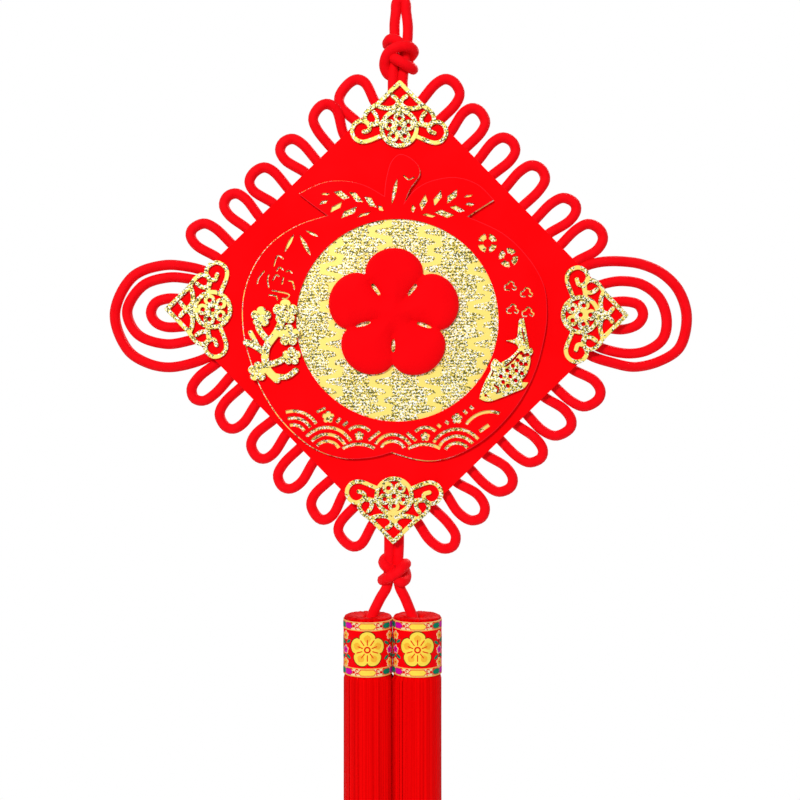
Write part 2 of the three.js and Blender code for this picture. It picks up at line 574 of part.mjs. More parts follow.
function carpScales() {
  const spine = smooth(CARP_SPINE, CARP_ROWS.length + 1);
  return CARP_ROWS.flatMap((off, k) => {
    const along = spine[k + 2].clone().sub(spine[k]).normalize();
    const across = new THREE.Vector2(-along.y, along.x);
    return [-1, 0, 1].map((row) => {
      const at = spine[k + 1].clone().addScaledVector(across, off * row)
        .addScaledVector(along, CARP_SCALE.stagger * Math.abs(row));
      const slant = THREE.MathUtils.radToDeg(across.angle());
      return barSlot(at.x, at.y, CARP_SCALE.length, CARP_SCALE.width, slant);
    });
  });
}

function carpPlate() {
  const eye = lobedPoints(CARP_EYE.x, CARP_EYE.z, CARP_EYE.radius, CARP_EYE.radius, 4, 0, 1);
  const slots = [eye, ...carpScales()];
  for (const [width, points] of CARP_SLITS) slots.push(ribbon(points, width).getPoints());
  return cutPlate(outline(CARP_OUTLINE, 2), slots, GILT_BACK, GILT_THICK);
}

// The tassels

function hashed(seed) {
  const value = Math.sin(seed * 12.9898) * 43758.5453;
  return value - Math.floor(value);
}

function tasselHead() {
  const rim = TASSEL.radius;
  const waist = rim - CUFF.thick - 2 * GAP;
  const cuffTop = -CUFF.drop + GAP;
  const cuffBottom = -CUFF.drop - CUFF.height - GAP;
  const profile = [[0, -2.4], [5, -0.8], [9.4, 0], [12.9, -0.3], [rim, -1.1], [rim, cuffTop],
    [waist, cuffTop],
    [waist, cuffBottom], [rim - 0.6, cuffBottom], [rim - 0.6, cuffBottom - 2], [0, cuffBottom - 2]];
  // The profile runs down, so its points are reversed to face outward
  return new THREE.LatheGeometry(profile.reverse().map(vec), 14).rotateX(Math.PI / 2);
}

function strand(x, y, seed) {
  const half = STRANDS.width / 2;
  const turn = hashed(seed) * Math.PI;
  const corners = [0, 1, 2].map((k) => {
    const a = turn + (k * 2 * Math.PI) / 3;
    return new THREE.Vector2(x + half * Math.cos(a), y + half * Math.sin(a));
  });
  const root = -CUFF.drop - CUFF.height - 1.4;
  const end = -TASSEL.length + STRANDS.uneven * hashed(seed + 0.5);
  const section = new THREE.Shape(corners);
  const geometry = new THREE.ExtrudeGeometry(section, { depth: root - end, bevelEnabled: false });
  return geometry.translate(0, 0, end);
}

function tassel(name, x, leg) {
  const pieces = [tasselHead(), strand(0, 0, x)];
  for (let ring = 1; ring <= STRANDS.rings; ring += 1) {
    for (let k = 0; k < ring * 6; k += 1) {
      const a = ((k + hashed(ring + x) + 0.2 * hashed(ring * 37 + k)) / (ring * 6)) * 2 * Math.PI;
      const out = ring * STRANDS.pitch;
      pieces.push(strand(out * Math.cos(a), out * Math.sin(a), ring * 31 + k));
    }
  }
  const body = fuse(pieces);
  // The hole that the cord's leg enters
  const hole = tube(leg.slice(-4), CORD_RADIUS + 2 * GAP, 7, 4).translate(-x, 0, -TASSEL.top - GAP);
  const mesh = named(name, geometryOf(body.subtract(solid(hole))), RED_THREAD);
  mesh.position.set(x, 0, TASSEL.top);
  return mesh;
}

function cuff(name, x) {
  const inner = TASSEL.radius - CUFF.thick;
  const top = -CUFF.drop;
  const bottom = top - CUFF.height;
  const outer = TASSEL.radius;
  const profile = [[inner, bottom], [outer, bottom], [outer, top], [inner, top], [inner, bottom]];
  const geometry = cleaned(new THREE.LatheGeometry(profile.map(vec), 24).rotateX(Math.PI / 2));
  const mesh = named(name, geometry, BROCADE);
  mesh.position.set(x, 0, TASSEL.top);
  return mesh;
}

// The whole ornament

const ornament = new THREE.Group();
ornament.add(knotCord());

ornament.add(onBoard('diamond_board', diamondBoard(), RED_FLOCK, BOARD_BACK + BOARD_THICK));
ornament.add(onBoard('glitter_sheet', cleaned(glitterPlate()), GOLD_GLITTER, GLITTER_BACK + GLITTER.thick));
ornament.add(onBoard('apple_sheet', applePlate(), RED_FLOCK, APPLE_BACK + APPLE.thick));
ornament.add(onBoard('centre_blossom', puffyBlossom(), RED_FLOCK, APPLE_BACK + BLOSSOM.thick));
ornament.add(onBoard('blossom_sprig', sprigPlate(), GOLD_GLITTER, GILT_BACK + GILT_THICK));
ornament.add(onBoard('carp', carpPlate(), GOLD_GLITTER, GILT_BACK + GILT_THICK));

const CORNERS = { corner_top: 0, corner_right: 90, corner_bottom: 180, corner_left: 270 };
for (const [name, clockwise] of Object.entries(CORNERS)) {
  const geometry = cornerPiece().translate(0, 0, BOARD_SIDE / Math.SQRT2 + CORNER_OVERHANG);
  geometry.rotateY(THREE.MathUtils.degToRad(clockwise));
  ornament.add(onBoard(name, geometry, GOLD_GLITTER, GLITTER_BACK + GILT_THICK));
}

const tasselX = [TASSEL.middle - TASSEL.apart / 2, TASSEL.middle + TASSEL.apart / 2];
ornament.add(tassel('tassel_left', tasselX[0], BOTTOM_ROUTES.leftLeg));
ornament.add(tassel('tassel_right', tasselX[1], BOTTOM_ROUTES.rightLeg));
ornament.add(cuff('cuff_left', tasselX[0]));
ornament.add(cuff('cuff_right', tasselX[1]));

export default ornament;
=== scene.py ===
"""A knotted hanging: woven red cord, a flocked board with a fruit-shaped sheet, and two tassels."""
import logging
import math
import random
from dataclasses import dataclass, field
from enum import Enum

import bmesh
import bpy
from mathutils import Matrix, Vector, kdtree


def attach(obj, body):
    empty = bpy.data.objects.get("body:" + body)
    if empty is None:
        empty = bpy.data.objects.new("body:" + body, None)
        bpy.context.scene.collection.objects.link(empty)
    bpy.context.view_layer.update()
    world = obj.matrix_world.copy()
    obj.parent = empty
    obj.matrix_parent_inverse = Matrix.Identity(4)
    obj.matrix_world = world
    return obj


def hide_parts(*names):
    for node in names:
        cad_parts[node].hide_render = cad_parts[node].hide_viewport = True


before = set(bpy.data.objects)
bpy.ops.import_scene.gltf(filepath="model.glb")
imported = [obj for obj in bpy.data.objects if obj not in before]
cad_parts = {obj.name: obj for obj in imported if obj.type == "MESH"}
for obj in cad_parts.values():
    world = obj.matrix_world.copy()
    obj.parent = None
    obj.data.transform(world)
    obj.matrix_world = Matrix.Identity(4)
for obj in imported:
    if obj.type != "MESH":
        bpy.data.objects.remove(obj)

LOG = logging.getLogger("knotted_hanging")
MM = 0.001
CORD_WIDTH = 5.8
# The cord swells a little where nothing presses it
LOOSE_CORD_WIDTH = CORD_WIDTH * 1.05
BOARD_SIDE = 190.0
# The outlines are as seen from this far in front, and from level with this place, across and up
SEEN_FROM = 660.0
SEEN_AXIS = (-0.6, -229.1)
# The board's middle, and how far its upright diagonal leans
BOARD_FRAME = Matrix.Translation((-2.6 * MM, 0, -178.1 * MM)) @ Matrix.Rotation(math.radians(0.8), 4, "Y")
# At this scale a wave texture along one axis has about one band to each unit of length
WAVE_SCALE = 0.318

Flat = list[tuple[float, float]]
Route = list[tuple[float, float, float]]


class Slot(Enum):
    """The record's material slots."""

    CORD = "cord"
    FLOCK = "flock"
    GLITTER = "glitter"
    BROCADE = "brocade"
    THREAD = "thread"


class Layer(Enum):
    """The layers of the front: how far each one's back is in front of the cord, and its thickness, in mm."""

    BOARD = (5.8, 2.0)
    GLITTER = (8.1, 1.6)
    CORNER = (8.1, 1.4)
    APPLE = (9.9, 0.8)
    BLOSSOM = (9.6, 6.0)
    GILT = (11.4, 1.4)

    @property
    def back(self) -> float:
        """The distance of the layer's back."""
        return self.value[0]

    @property
    def thick(self) -> float:
        """The layer's thickness."""
        return self.value[1]

    def smaller(self) -> Matrix:
        """Draws the layer smaller by as much as it looked larger for lying nearer."""
        share = 1 - (self.back + self.thick) / SEEN_FROM
        x, z = (at * (1 - share) * MM for at in SEEN_AXIS)
        return Matrix.Translation((x, 0, z)) @ Matrix.Diagonal((share, 1, share, 1))


# Materials


def linear(code: int) -> tuple[float, float, float, float]:
    """Turns an sRGB hex colour to linear.

    Args:
        code: The colour, such as 0xff8000.

    Returns:
        Red, green, blue and an alpha of 1.
    """
    channels = [((code >> shift) & 255) / 255 for shift in (16, 8, 0)]
    red, green, blue = (c / 12.92 if c <= 0.04045 else ((c + 0.055) / 1.055) ** 2.4 for c in channels)
    return (red, green, blue, 1.0)


def add_node(tree: bpy.types.NodeTree, kind: str, settings: dict | None = None,
             links: dict | None = None) -> bpy.types.Node:
    """Adds a node with its settings and links.

    Args:
        tree: The node tree.
        kind: The node's type.
        settings: Values by input name, input number or property name.
        links: Nodes or sockets by the input name or number that they feed.

    Returns:
        The new node.
    """
    node = tree.nodes.new(kind)
    for name, value in (settings or {}).items():
        if isinstance(name, str) and hasattr(node, name):
            setattr(node, name, value)
        else:
            node.inputs[name].default_value = value
    for name, source in (links or {}).items():
        socket = source.outputs[0] if isinstance(source, bpy.types.Node) else source
        tree.links.new(socket, node.inputs[name])
    return node


def new_material(name: str) -> tuple[bpy.types.Material, bpy.types.NodeTree]:
    """Makes an empty node material.

    Args:
        name: The material's name.

    Returns:
        The material and its node tree.
    """
    material = bpy.data.materials.new(name)
    material.use_nodes = True
    material.node_tree.nodes.clear()
    return material, material.node_tree


@dataclass(frozen=True)
class FlockedFoam:
    """Red nylon flock blown onto foam sheet: a dead matt velvet, a little lighter where it turns away."""

    name: str = "flocked_foam_red"
    deep: int = 0xF60004
    bright: int = 0xFF0810
    # Flock fibres are 0.05 mm wide. They are drawn 0.5 mm wide, so that they show
    fibre_mm: float = 0.5
    cloud_mm: float = 30.0

    def build(self) -> bpy.types.Material:
        """Makes the material."""
        material, tree = new_material(self.name)
        where = add_node(tree, "ShaderNodeTexCoord").outputs["Object"]
        nap = add_node(tree, "ShaderNodeTexNoise", {"Scale": 1 / (self.fibre_mm * 2 * MM), "Detail": 3.0},
                       {"Vector": where})
        cloud = add_node(tree, "ShaderNodeTexNoise", {"Scale": 1 / (self.cloud_mm * MM), "Detail": 2.0},
                         {"Vector": where})
        ramp = add_node(tree, "ShaderNodeMix", {"data_type": "RGBA", 6: linear(self.deep),
                                                7: linear(self.bright)}, {0: cloud})
        bump = add_node(tree, "ShaderNodeBump", {"Strength": 0.35, "Distance": 0.12 * MM}, {"Height": nap})
        shader = add_node(tree, "ShaderNodeBsdfPrincipled", {
            "Roughness": 0.75, "Specular IOR Level": 0.16, "Specular Tint": linear(0xFF5858),
            "Sheen Weight": 0.5, "Sheen Roughness": 0.4, "Sheen Tint": linear(0xFF4858),
        }, {"Base Color": ramp.outputs[2], "Normal": bump})
        add_node(tree, "ShaderNodeOutputMaterial", {}, {"Surface": shader})
        return material


@dataclass(frozen=True)
class KnittedCover:
    """Soft red polyester cord with a knitted cover: slightly silky, with fine ribs that run along it."""

    name: str = "knitted_cord_red"
    deep: int = 0xF2000A
    bright: int = 0xFF101C
    ribs_round: int = 22
    stitch_mm: float = 1.1
    streak_mm: float = 1.4
    streak_length_mm: float = 24.0

    def build(self) -> bpy.types.Material:
        """Makes the material."""
        material, tree = new_material(self.name)
        where = add_node(tree, "ShaderNodeUVMap", {"uv_map": "UVMap"})
        # Slanted stitches, in units of one rib round the cord and one stitch along it
        ribs = add_node(tree, "ShaderNodeMapping", {
            "Scale": (self.ribs_round / (CORD_WIDTH * math.pi * MM), 1 / (self.stitch_mm * MM), 1.0)},
            {"Vector": where})
        stitch = add_node(tree, "ShaderNodeTexWave", {"Scale": WAVE_SCALE, "Distortion": 0.6, "Detail": 1.0,
                                                      "bands_direction": "DIAGONAL"}, {"Vector": ribs})
        drawn = add_node(tree, "ShaderNodeMapping", {
            "Scale": (1 / (self.streak_mm * MM), 1 / (self.streak_length_mm * MM), 1.0)}, {"Vector": where})
        streak = add_node(tree, "ShaderNodeTexNoise", {"Scale": 1.0, "Detail": 2.0}, {"Vector": drawn})
        colour = add_node(tree, "ShaderNodeMix", {"data_type": "RGBA", 6: linear(self.deep),
                                                  7: linear(self.bright)}, {0: streak})
        bump = add_node(tree, "ShaderNodeBump", {"Strength": 0.5, "Distance": 0.08 * MM}, {"Height": stitch})
        shader = add_node(tree, "ShaderNodeBsdfPrincipled", {
            "Roughness": 0.55, "Specular IOR Level": 0.22, "Specular Tint": linear(0xFF5058),
            "Sheen Weight": 0.2, "Sheen Roughness": 0.5, "Sheen Tint": linear(0xFF4050),
        }, {"Base Color": colour.outputs[2], "Normal": bump})
        add_node(tree, "ShaderNodeOutputMaterial", {}, {"Surface": shader})
        return material


@dataclass(frozen=True)
class GlitterCard:
    """Gold glitter card: pale gold foil under flakes, some white as painted glints and some olive as painted
    shade.
    """

    name: str
    # Flakes are 0.2 mm wide. They are drawn 0.6 mm wide, so that they show
    flake_mm: float = 0.6
    plain_share: float = 0.42
    patch_mm: float = 7.0
    columns: bool = False
    # Flake colours: white is a painted glint and olive is painted shade; gold and straw are the foil's own
    gold: int = 0xFFE474
    white: int = 0xFFFFF2
    straw: int = 0xEAD458
    olive: int = 0x5E5C1A
    column_pitch_mm: float = 28.2
    column_period_mm: float = 21.4
    column_swing_mm: float = 2.5
    column_curl_mm: float = 3.3
    column_width_mm: float = 3.3
    column_start_mm: float = 997.6
    column_phase: float = 2.89
    ripple_mm: float = 1.9
    ripple_share: float = 0.26

    def _columns(self, tree: bpy.types.NodeTree, where: bpy.types.NodeSocket) -> bpy.types.NodeSocket:
        """Draws upright winding bands, where the foil was rolled smooth.

        Args:
            tree: The material's tree.
            where: The place on the surface.

        Returns:
            1 on the bands and 0 beside them.
        """
        step = 2 * math.pi / (self.column_period_mm * MM)
        swing, curl = self.column_swing_mm * MM, self.column_curl_mm * MM
        split = add_node(tree, "ShaderNodeSeparateXYZ", {}, {0: where})
        found = {"x": split.outputs[0], "z": split.outputs[2]}
        # The band's middle line has one wide swing, and a curl that turns back twice in it, bluntly. The
        # sums from flat to half find how steeply it runs, so that the band keeps its width where it is level
        for name, operation, terms in (
            ("turn", "MULTIPLY_ADD", ("z", step, self.column_phase)),
            ("sine", "SINE", ("turn",)), ("cosine", "COSINE", ("turn",)),
            ("twice", "MULTIPLY", ("sine", "sine")), ("curl", "MULTIPLY_ADD", ("twice", 2.0, -1.0)),
            ("curved", "MULTIPLY", ("curl", "curl")), ("blunt", "MULTIPLY_ADD", ("curved", -0.5, 1.5)),
            ("bent", "MULTIPLY", ("curl", "blunt")),
            ("aside", "MULTIPLY_ADD", ("sine", swing, self.column_start_mm * MM)),
            ("offset", "MULTIPLY_ADD", ("bent", curl, "aside")), ("across", "ADD", ("x", "offset")),
            ("folded", "PINGPONG", ("across", self.column_pitch_mm * MM / 2)),
            ("flat", "MULTIPLY_ADD", ("curved", -1.5, 1.5)), ("quick", "MULTIPLY", ("sine", "flat")),
            ("steep", "MULTIPLY_ADD", ("quick", 4 * curl * step, swing * step)),
            ("slope", "MULTIPLY", ("steep", "cosine")), ("square", "MULTIPLY_ADD", ("slope", "slope", 1.0)),
            ("longer", "SQRT", ("square",)), ("half", "MULTIPLY", ("longer", self.column_width_mm * MM / 2)),
            ("band", "LESS_THAN", ("folded", "half")),
        ):
            numbers = {k: term for k, term in enumerate(terms) if not isinstance(term, str)}
            earlier = {k: found[term] for k, term in enumerate(terms) if isinstance(term, str)}
            made = add_node(tree, "ShaderNodeMath", {"operation": operation, **numbers}, earlier)
            found[name] = made.outputs[0]
        return found["band"]

    def build(self) -> bpy.types.Material:
        """Makes the material."""
        material, tree = new_material(self.name)
        where = add_node(tree, "ShaderNodeTexCoord").outputs["Object"]
        flakes = add_node(tree, "ShaderNodeTexVoronoi", {"Scale": 1 / (self.flake_mm * MM)},
                          {"Vector": where})
        shade = add_node(tree, "ShaderNodeSeparateColor", {}, {0: flakes.outputs["Color"]})
        tone = shade.outputs[0]
        if self.columns:
            # Fine level ripples, in which the flakes lie lighter and darker
            ripple = add_node(tree, "ShaderNodeTexWave", {
                "Scale": WAVE_SCALE / (self.ripple_mm * MM), "Distortion": 2.5, "Detail": 1.0,
                "bands_direction": "Z"}, {"Vector": where})
            middle = add_node(tree, "ShaderNodeMath", {"operation": "SUBTRACT", 1: 0.5},
                              {0: ripple.outputs[1]})
            tone = add_node(tree, "ShaderNodeMath", {"operation": "MULTIPLY_ADD", 1: self.ripple_share},
                            {0: middle, 2: tone})
        ramp = add_node(tree, "ShaderNodeValToRGB", {}, {0: tone})
        ramp.color_ramp.interpolation = "CONSTANT"
        # Each flake takes one colour at random: olive as painted shade, straw, gold, or white as a painted
        # glint
        stops = [(0.0, self.olive), (0.33, self.straw), (0.52, self.gold), (0.72, self.white)]
        for place, code in stops[1:-1]:
            ramp.color_ramp.elements.new(place).color = linear(code)
        for element, (place, code) in zip((ramp.color_ramp.elements[0], ramp.color_ramp.elements[-1]),
                                          (stops[0], stops[-1])):
            element.position = place
            element.color = linear(code)
        if self.columns:
            plain = self._columns(tree, where)
        else:
            patches = add_node(tree, "ShaderNodeTexNoise", {
                "Scale": 1 / (self.patch_mm * MM), "Detail": 3.0}, {"Vector": where})
            plain = add_node(tree, "ShaderNodeMath", {"operation": "LESS_THAN", 1: self.plain_share},
                             {0: patches}).outputs[0]
        colour = add_node(tree, "ShaderNodeMix", {"data_type": "RGBA", 7: linear(self.gold)},
                          {0: plain, 6: ramp})
        rough = add_node(tree, "ShaderNodeMath", {"operation": "SUBTRACT", 0: 1.0}, {1: plain})
        height = add_node(tree, "ShaderNodeMath", {"operation": "MULTIPLY"}, {0: shade.outputs[1], 1: rough})
        bump = add_node(tree, "ShaderNodeBump", {"Strength": 0.4, "Distance": 0.15 * MM}, {"Height": height})
        shader = add_node(tree, "ShaderNodeBsdfPrincipled", {
            "Metallic": 0.25, "Roughness": 0.42, "Specular IOR Level": 0.4,
        }, {"Base Color": colour.outputs[2], "Normal": bump})
        add_node(tree, "ShaderNodeOutputMaterial", {}, {"Surface": shader})
        return material


@dataclass(frozen=True)
class RayonThread:
    """Red rayon floss, cut and hung straight: silky, with each thread a little lighter or darker."""

    name: str = "rayon_thread_red"
    deep: int = 0xD20002
    bright: int = 0xFC0506
    # Filaments are 0.02 mm wide. They are drawn 0.5 mm wide, so that they show
    fibre_mm: float = 0.5
    fibre_length_mm: float = 40.0

    def build(self) -> bpy.types.Material:
        """Makes the material."""
        material, tree = new_material(self.name)
        tone = add_node(tree, "ShaderNodeAttribute", {"attribute_name": "tone"}).outputs["Fac"]
        where = add_node(tree, "ShaderNodeTexCoord").outputs["Object"]
        drawn = add_node(tree, "ShaderNodeMapping", {
            "Scale": (1 / (self.fibre_mm * MM), 1 / (self.fibre_mm * MM), 1 / (self.fibre_length_mm * MM))},
            {"Vector": where})
        fibre = add_node(tree, "ShaderNodeTexNoise", {"Scale": 1.0, "Detail": 2.0}, {"Vector": drawn})
        both = add_node(tree, "ShaderNodeMath", {"operation": "ADD"}, {0: tone, 1: fibre})
        blend = add_node(tree, "ShaderNodeMath", {
            "operation": "MULTIPLY_ADD", 1: 0.6, 2: -0.1, "use_clamp": True}, {0: both})
        colour = add_node(tree, "ShaderNodeMix", {"data_type": "RGBA", 6: linear(self.deep),
                                                  7: linear(self.bright)}, {0: blend})
        bump = add_node(tree, "ShaderNodeBump", {"Strength": 0.3, "Distance": 0.1 * MM}, {"Height": fibre})
        shader = add_node(tree, "ShaderNodeBsdfPrincipled", {
            "Roughness": 0.6, "Specular IOR Level": 0.1, "Specular Tint": linear(0xFF2020),
        }, {"Base Color": colour.outputs[2], "Normal": bump})
        add_node(tree, "ShaderNodeOutputMaterial", {}, {"Surface": shader})
        return material


@dataclass(frozen=True)
class WovenSilk:
    """Brocade floats of one colour: a satin weave that catches the light across its threads."""

    name: str
    colour: int
    lighter: float = 0.12
    # Threads are 0.2 mm apart. They are drawn 0.5 mm apart, so that they show
    thread_mm: float = 0.5
    fleck_mm: float = 1.2

    def build(self) -> bpy.types.Material:
        """Makes the material."""
        material, tree = new_material(self.name)
        where = add_node(tree, "ShaderNodeUVMap", {"uv_map": "UVMap"})
        weave = add_node(tree, "ShaderNodeTexWave", {
            "Scale": WAVE_SCALE / (self.thread_mm * MM), "Distortion": 0.8, "Detail": 1.0,
            "bands_direction": "Y"}, {"Vector": where})
        fleck = add_node(tree, "ShaderNodeTexNoise", {"Scale": 1 / (self.fleck_mm * MM), "Detail": 2.0},
                         {"Vector": where})
        base = linear(self.colour)
        pale = tuple(min(c * (1 + self.lighter * 2), 1) for c in base[:3]) + (1.0,)
        colour = add_node(tree, "ShaderNodeMix", {"data_type": "RGBA", 6: base, 7: pale}, {0: fleck})
        bump = add_node(tree, "ShaderNodeBump", {"Strength": 0.35, "Distance": 0.08 * MM}, {"Height": weave})
        shader = add_node(tree, "ShaderNodeBsdfPrincipled", {
            "Roughness": 0.5, "Specular IOR Level": 0.15, "Specular Tint": base,
        }, {"Base Color": colour.outputs[2], "Normal": bump})
        add_node(tree, "ShaderNodeOutputMaterial", {}, {"Surface": shader})
        return material


# Lines


def smooth(points: list, steps: int) -> list[Vector]:
    """Samples an even Catmull-Rom line through points.

    Args:
        points: The points that the line passes.
        steps: The number of steps over the whole line.

    Returns:
        The samples, with both ends.
    """
    places = [Vector(p) for p in points]
    last = len(places) - 1
    samples = []
    for k in range(steps + 1):
        at = last * k / steps
        i = min(int(at), last - 1)
        w = at - i
        a, b = places[max(i - 1, 0)], places[i]
        c, d = places[i + 1], places[min(i + 2, last)]
        start, end = (c - a) * 0.5, (d - b) * 0.5
        samples.append(b * (2 * w**3 - 3 * w**2 + 1) + start * (w**3 - 2 * w**2 + w)
                       + c * (3 * w**2 - 2 * w**3) + end * (w**3 - w**2))
    return samples


def cord_line(points: Route, per_span: int = 10) -> list[Vector]:
    """Samples a centripetal Catmull-Rom line, which makes no loops where points lie close.

    Args:
        points: The points that the line passes.
        per_span: The samples in each span.

    Returns:
        The samples, with both ends.
    """
    places = [Vector(p) for p in points]
    places = [places[0] * 2 - places[1], *places, places[-1] * 2 - places[-2]]
    samples = []
    for a, b, c, d in zip(places, places[1:], places[2:], places[3:]):
        t1 = (b - a).length ** 0.5
        t2 = t1 + (c - b).length ** 0.5
        t3 = t2 + (d - c).length ** 0.5
        for k in range(per_span):
            t = t1 + (t2 - t1) * k / per_span
            ab = a.lerp(b, t / t1)
            bc = b.lerp(c, (t - t1) / (t2 - t1))
            cd = c.lerp(d, (t - t2) / (t3 - t2))
            samples.append(ab.lerp(bc, t / t2).lerp(bc.lerp(cd, (t - t1) / (t3 - t1)), (t - t1) / (t2 - t1)))
    samples.append(places[-2])
    return samples


def evened(line: list[Vector], step: float) -> list[Vector]:
    """Spaces a line's points evenly.

    Args:
        line: The points of the line.
        step: About how far apart they come.

    Returns:
        The evenly spaced points, with both ends.
    """
    along = [0.0]
    for a, b in zip(line, line[1:]):
        along.append(along[-1] + (b - a).length)
    count = max(2, round(along[-1] / step))
    out, k = [], 0
    for n in range(count + 1):
        want = along[-1] * n / count
        while k < len(line) - 2 and along[k + 1] < want:
            k += 1
        span = along[k + 1] - along[k]
        out.append(line[k].lerp(line[k + 1], (want - along[k]) / span if span else 0.0))
    return out


def outline(stretches: list[Flat], per_span: int) -> Flat:
    """Joins smooth stretches that meet at corners into one closed outline.

    Args:
        stretches: The stretches, each a list of points.
        per_span: The samples between two points.

    Returns:
        The closed outline.
    """
    points = []
    for stretch in stretches:
        steps = 1 if len(stretch) == 2 else (len(stretch) - 1) * per_span
        points += [(p.x, p.y) for p in smooth(stretch, steps)[:-1]]
    return points


def ribbon(points: Flat, width: float, per_span: int = 6) -> Flat:
    """Outlines a band of even width with round ends.

    Args:
        points: The points of the band's middle line.
        width: The band's width.
        per_span: The samples between two points.

    Returns:
        The closed outline.
    """
    line = smooth(points, (len(points) - 1) * per_span) if len(points) > 2 else [Vector(p) for p in points]
    left, right = [], []
    for i, at in enumerate(line):
        along = (line[min(i + 1, len(line) - 1)] - line[max(i - 1, 0)]).normalized()
        across = Vector((-along.y, along.x)) * width / 2
        left.append(at + across)
        right.append(at - across)
    caps = []
    for at, along in ((line[-1], line[-1] - line[-2]), (line[0], line[0] - line[1])):
        middle = math.atan2(along.y, along.x)
        caps.append([at + Vector((math.cos(middle + a), math.sin(middle + a))) * width / 2
                     for a in (math.pi / 3, math.pi / 6, 0, -math.pi / 6, -math.pi / 3)])
    return [(p.x, p.y) for p in [*left, *caps[0], *reversed(right), *caps[1]]]


def mirrored(points: Flat) -> Flat:
    """The points on the other side of the upright axis."""
    return [(-x, z) for x, z in points]


def lobed(x: float, z: float, tip: float, notch: float, petals: int, turn: float, steps: int,
          bluntness: float = 0.55) -> Flat:
    """Outlines a flower, or a disc where tip and notch are the same.

    Args:
        x: The middle, across.
        z: The middle, up.
        tip: The radius at the petals.
        notch: The radius between them.
        petals: The number of petals.
        turn: The first petal's direction in degrees.
        steps: The points for each petal.
        bluntness: How square the petals are, lower for squarer.

    Returns:
        The closed outline.
    """
    points = []
    for i in range(petals * steps):
        a = i / (petals * steps) * 2 * math.pi
        r = notch + (tip - notch) * abs(math.cos(a * petals / 2)) ** bluntness
        at = a + math.radians(turn)
        points.append((x + r * math.cos(at), z + r * math.sin(at)))
    return points


def disc(x: float, z: float, radius: float, steps: int) -> Flat:
    """Outlines a disc."""
    return lobed(x, z, radius, radius, 1, 0, steps)


def toward(degrees: float) -> tuple[float, float]:
    """Returns how far a step in a direction goes across and up."""
    return math.cos(math.radians(degrees)), math.sin(math.radians(degrees))


def turned(x: float, z: float, slant: float, corners: Flat) -> Flat:
    """Turns corners by slant degrees and moves them to a middle.

    Args:
        x: The middle, across.
        z: The middle, up.
        slant: The turn in degrees.
        corners: The corners round the middle.

    Returns:
        The placed corners.
    """
    c, s = toward(slant)
    return [(x + u * c - v * s, z + u * s + v * c) for u, v in corners]


def arc_slot(x: float, z: float, radius: float, width: float, start: float, end: float,
             steps: int = 14) -> Flat:
    """Outlines a slot bent round a middle.

    Args:
        x: The middle, across.
        z: The middle, up.
        radius: The radius of the slot's own middle line.
        width: The slot's width.
        start: The first direction in degrees.
        end: The last direction in degrees.
        steps: The steps along the slot.

    Returns:
        The closed outline.
    """
    turns = [math.radians(start + (end - start) * i / steps) for i in range(steps + 1)]
    outer, inner = ([(x + r * math.cos(a), z + r * math.sin(a)) for a in turns]
                    for r in (radius + width / 2, radius - width / 2))
    return outer + inner[::-1]


def bar_slot(x: float, z: float, length: float, width: float, slant: float, lean: float = 0.0) -> Flat:
    """Outlines a straight slot, its ends leaning if asked."""
    return turned(x, z, slant, [(-length / 2, -width / 2), (length / 2 - lean, -width / 2),
                                (length / 2, width / 2), (-length / 2 + lean, width / 2)])


def leaf_slot(x: float, z: float, length: float, width: float, slant: float) -> Flat:
    """Outlines a pointed leaf."""
    side = [(-0.5, 0.0), (-0.35, 0.22), (-0.2, 0.38), (0, 0.48), (0.15, 0.47), (0.35, 0.28), (0.5, 0.0)]
    back = [(u, -v) for u, v in side[-2:0:-1]]
    return turned(x, z, slant, [(u * length, v * width) for u, v in side + back])


# Meshes


def deselect_all() -> None:
    """Leaves nothing selected."""
    for thing in bpy.context.selected_objects:
        thing.select_set(False)


def activate(thing: bpy.types.Object) -> None:
    """Selects one object and makes it the active one."""
    deselect_all()
    thing.select_set(True)
    bpy.context.view_layer.objects.active = thing


def link_new(name: str, data: bpy.types.ID) -> bpy.types.Object:
    """Puts new data into the scene as the one selected object."""
    thing = bpy.data.objects.new(name, data)
    bpy.context.scene.collection.objects.link(thing)
    activate(thing)
    return thing


def apply_modifier(thing: bpy.types.Object, kind: str, settings: dict) -> None:
    """Adds a modifier and applies it.

    Args:
        thing: The object.
        kind: The modifier's type.
        settings: Its settings by name.
    """
    activate(thing)
    modifier = thing.modifiers.new(kind.lower(), kind)
    for name, value in settings.items():
        setattr(modifier, name, value)
    bpy.ops.object.modifier_apply(modifier=modifier.name)


def join(name: str, parts: list[bpy.types.Object]) -> bpy.types.Object:
    """Joins objects into one.

    Args:
        name: The name of the joined object.
        parts: The objects.

    Returns:
        The joined object.
    """
    activate(parts[0])
    for part in parts:
        part.select_set(True)
    if len(parts) > 1:
        bpy.ops.object.join()
    parts[0].name = name
    parts[0].data.name = name
    return parts[0]


def cut_flat(name: str, loops: list[Flat], thick: float, bevel: float = 0.0) -> bpy.types.Object:
    """Cuts a sheet to flat outlines, as a mesh in X and Y. A loop inside another is a hole.

    Args:
        name: The object's name.
        loops: The closed outlines, in millimetres.
        thick: The sheet's thickness.
        bevel: How far the cut edges are rounded.

    Returns:
        The mesh object.
    """
    curve = bpy.data.curves.new(name, "CURVE")
    curve.dimensions = "2D"
    curve.fill_mode = "BOTH"
    curve.extrude = (thick / 2 - bevel) * MM
    curve.bevel_depth = bevel * MM
    curve.bevel_resolution = 2
    curve.offset = -bevel * MM
    for loop in loops:
        spline = curve.splines.new("POLY")
        spline.points.add(len(loop) - 1)
        for point, (x, z) in zip(spline.points, loop):
            point.co = (x * MM, z * MM, 0, 1)
        spline.use_cyclic_u = True
    thing = link_new(name, curve)
    bpy.ops.object.convert(target="MESH")
    return thing


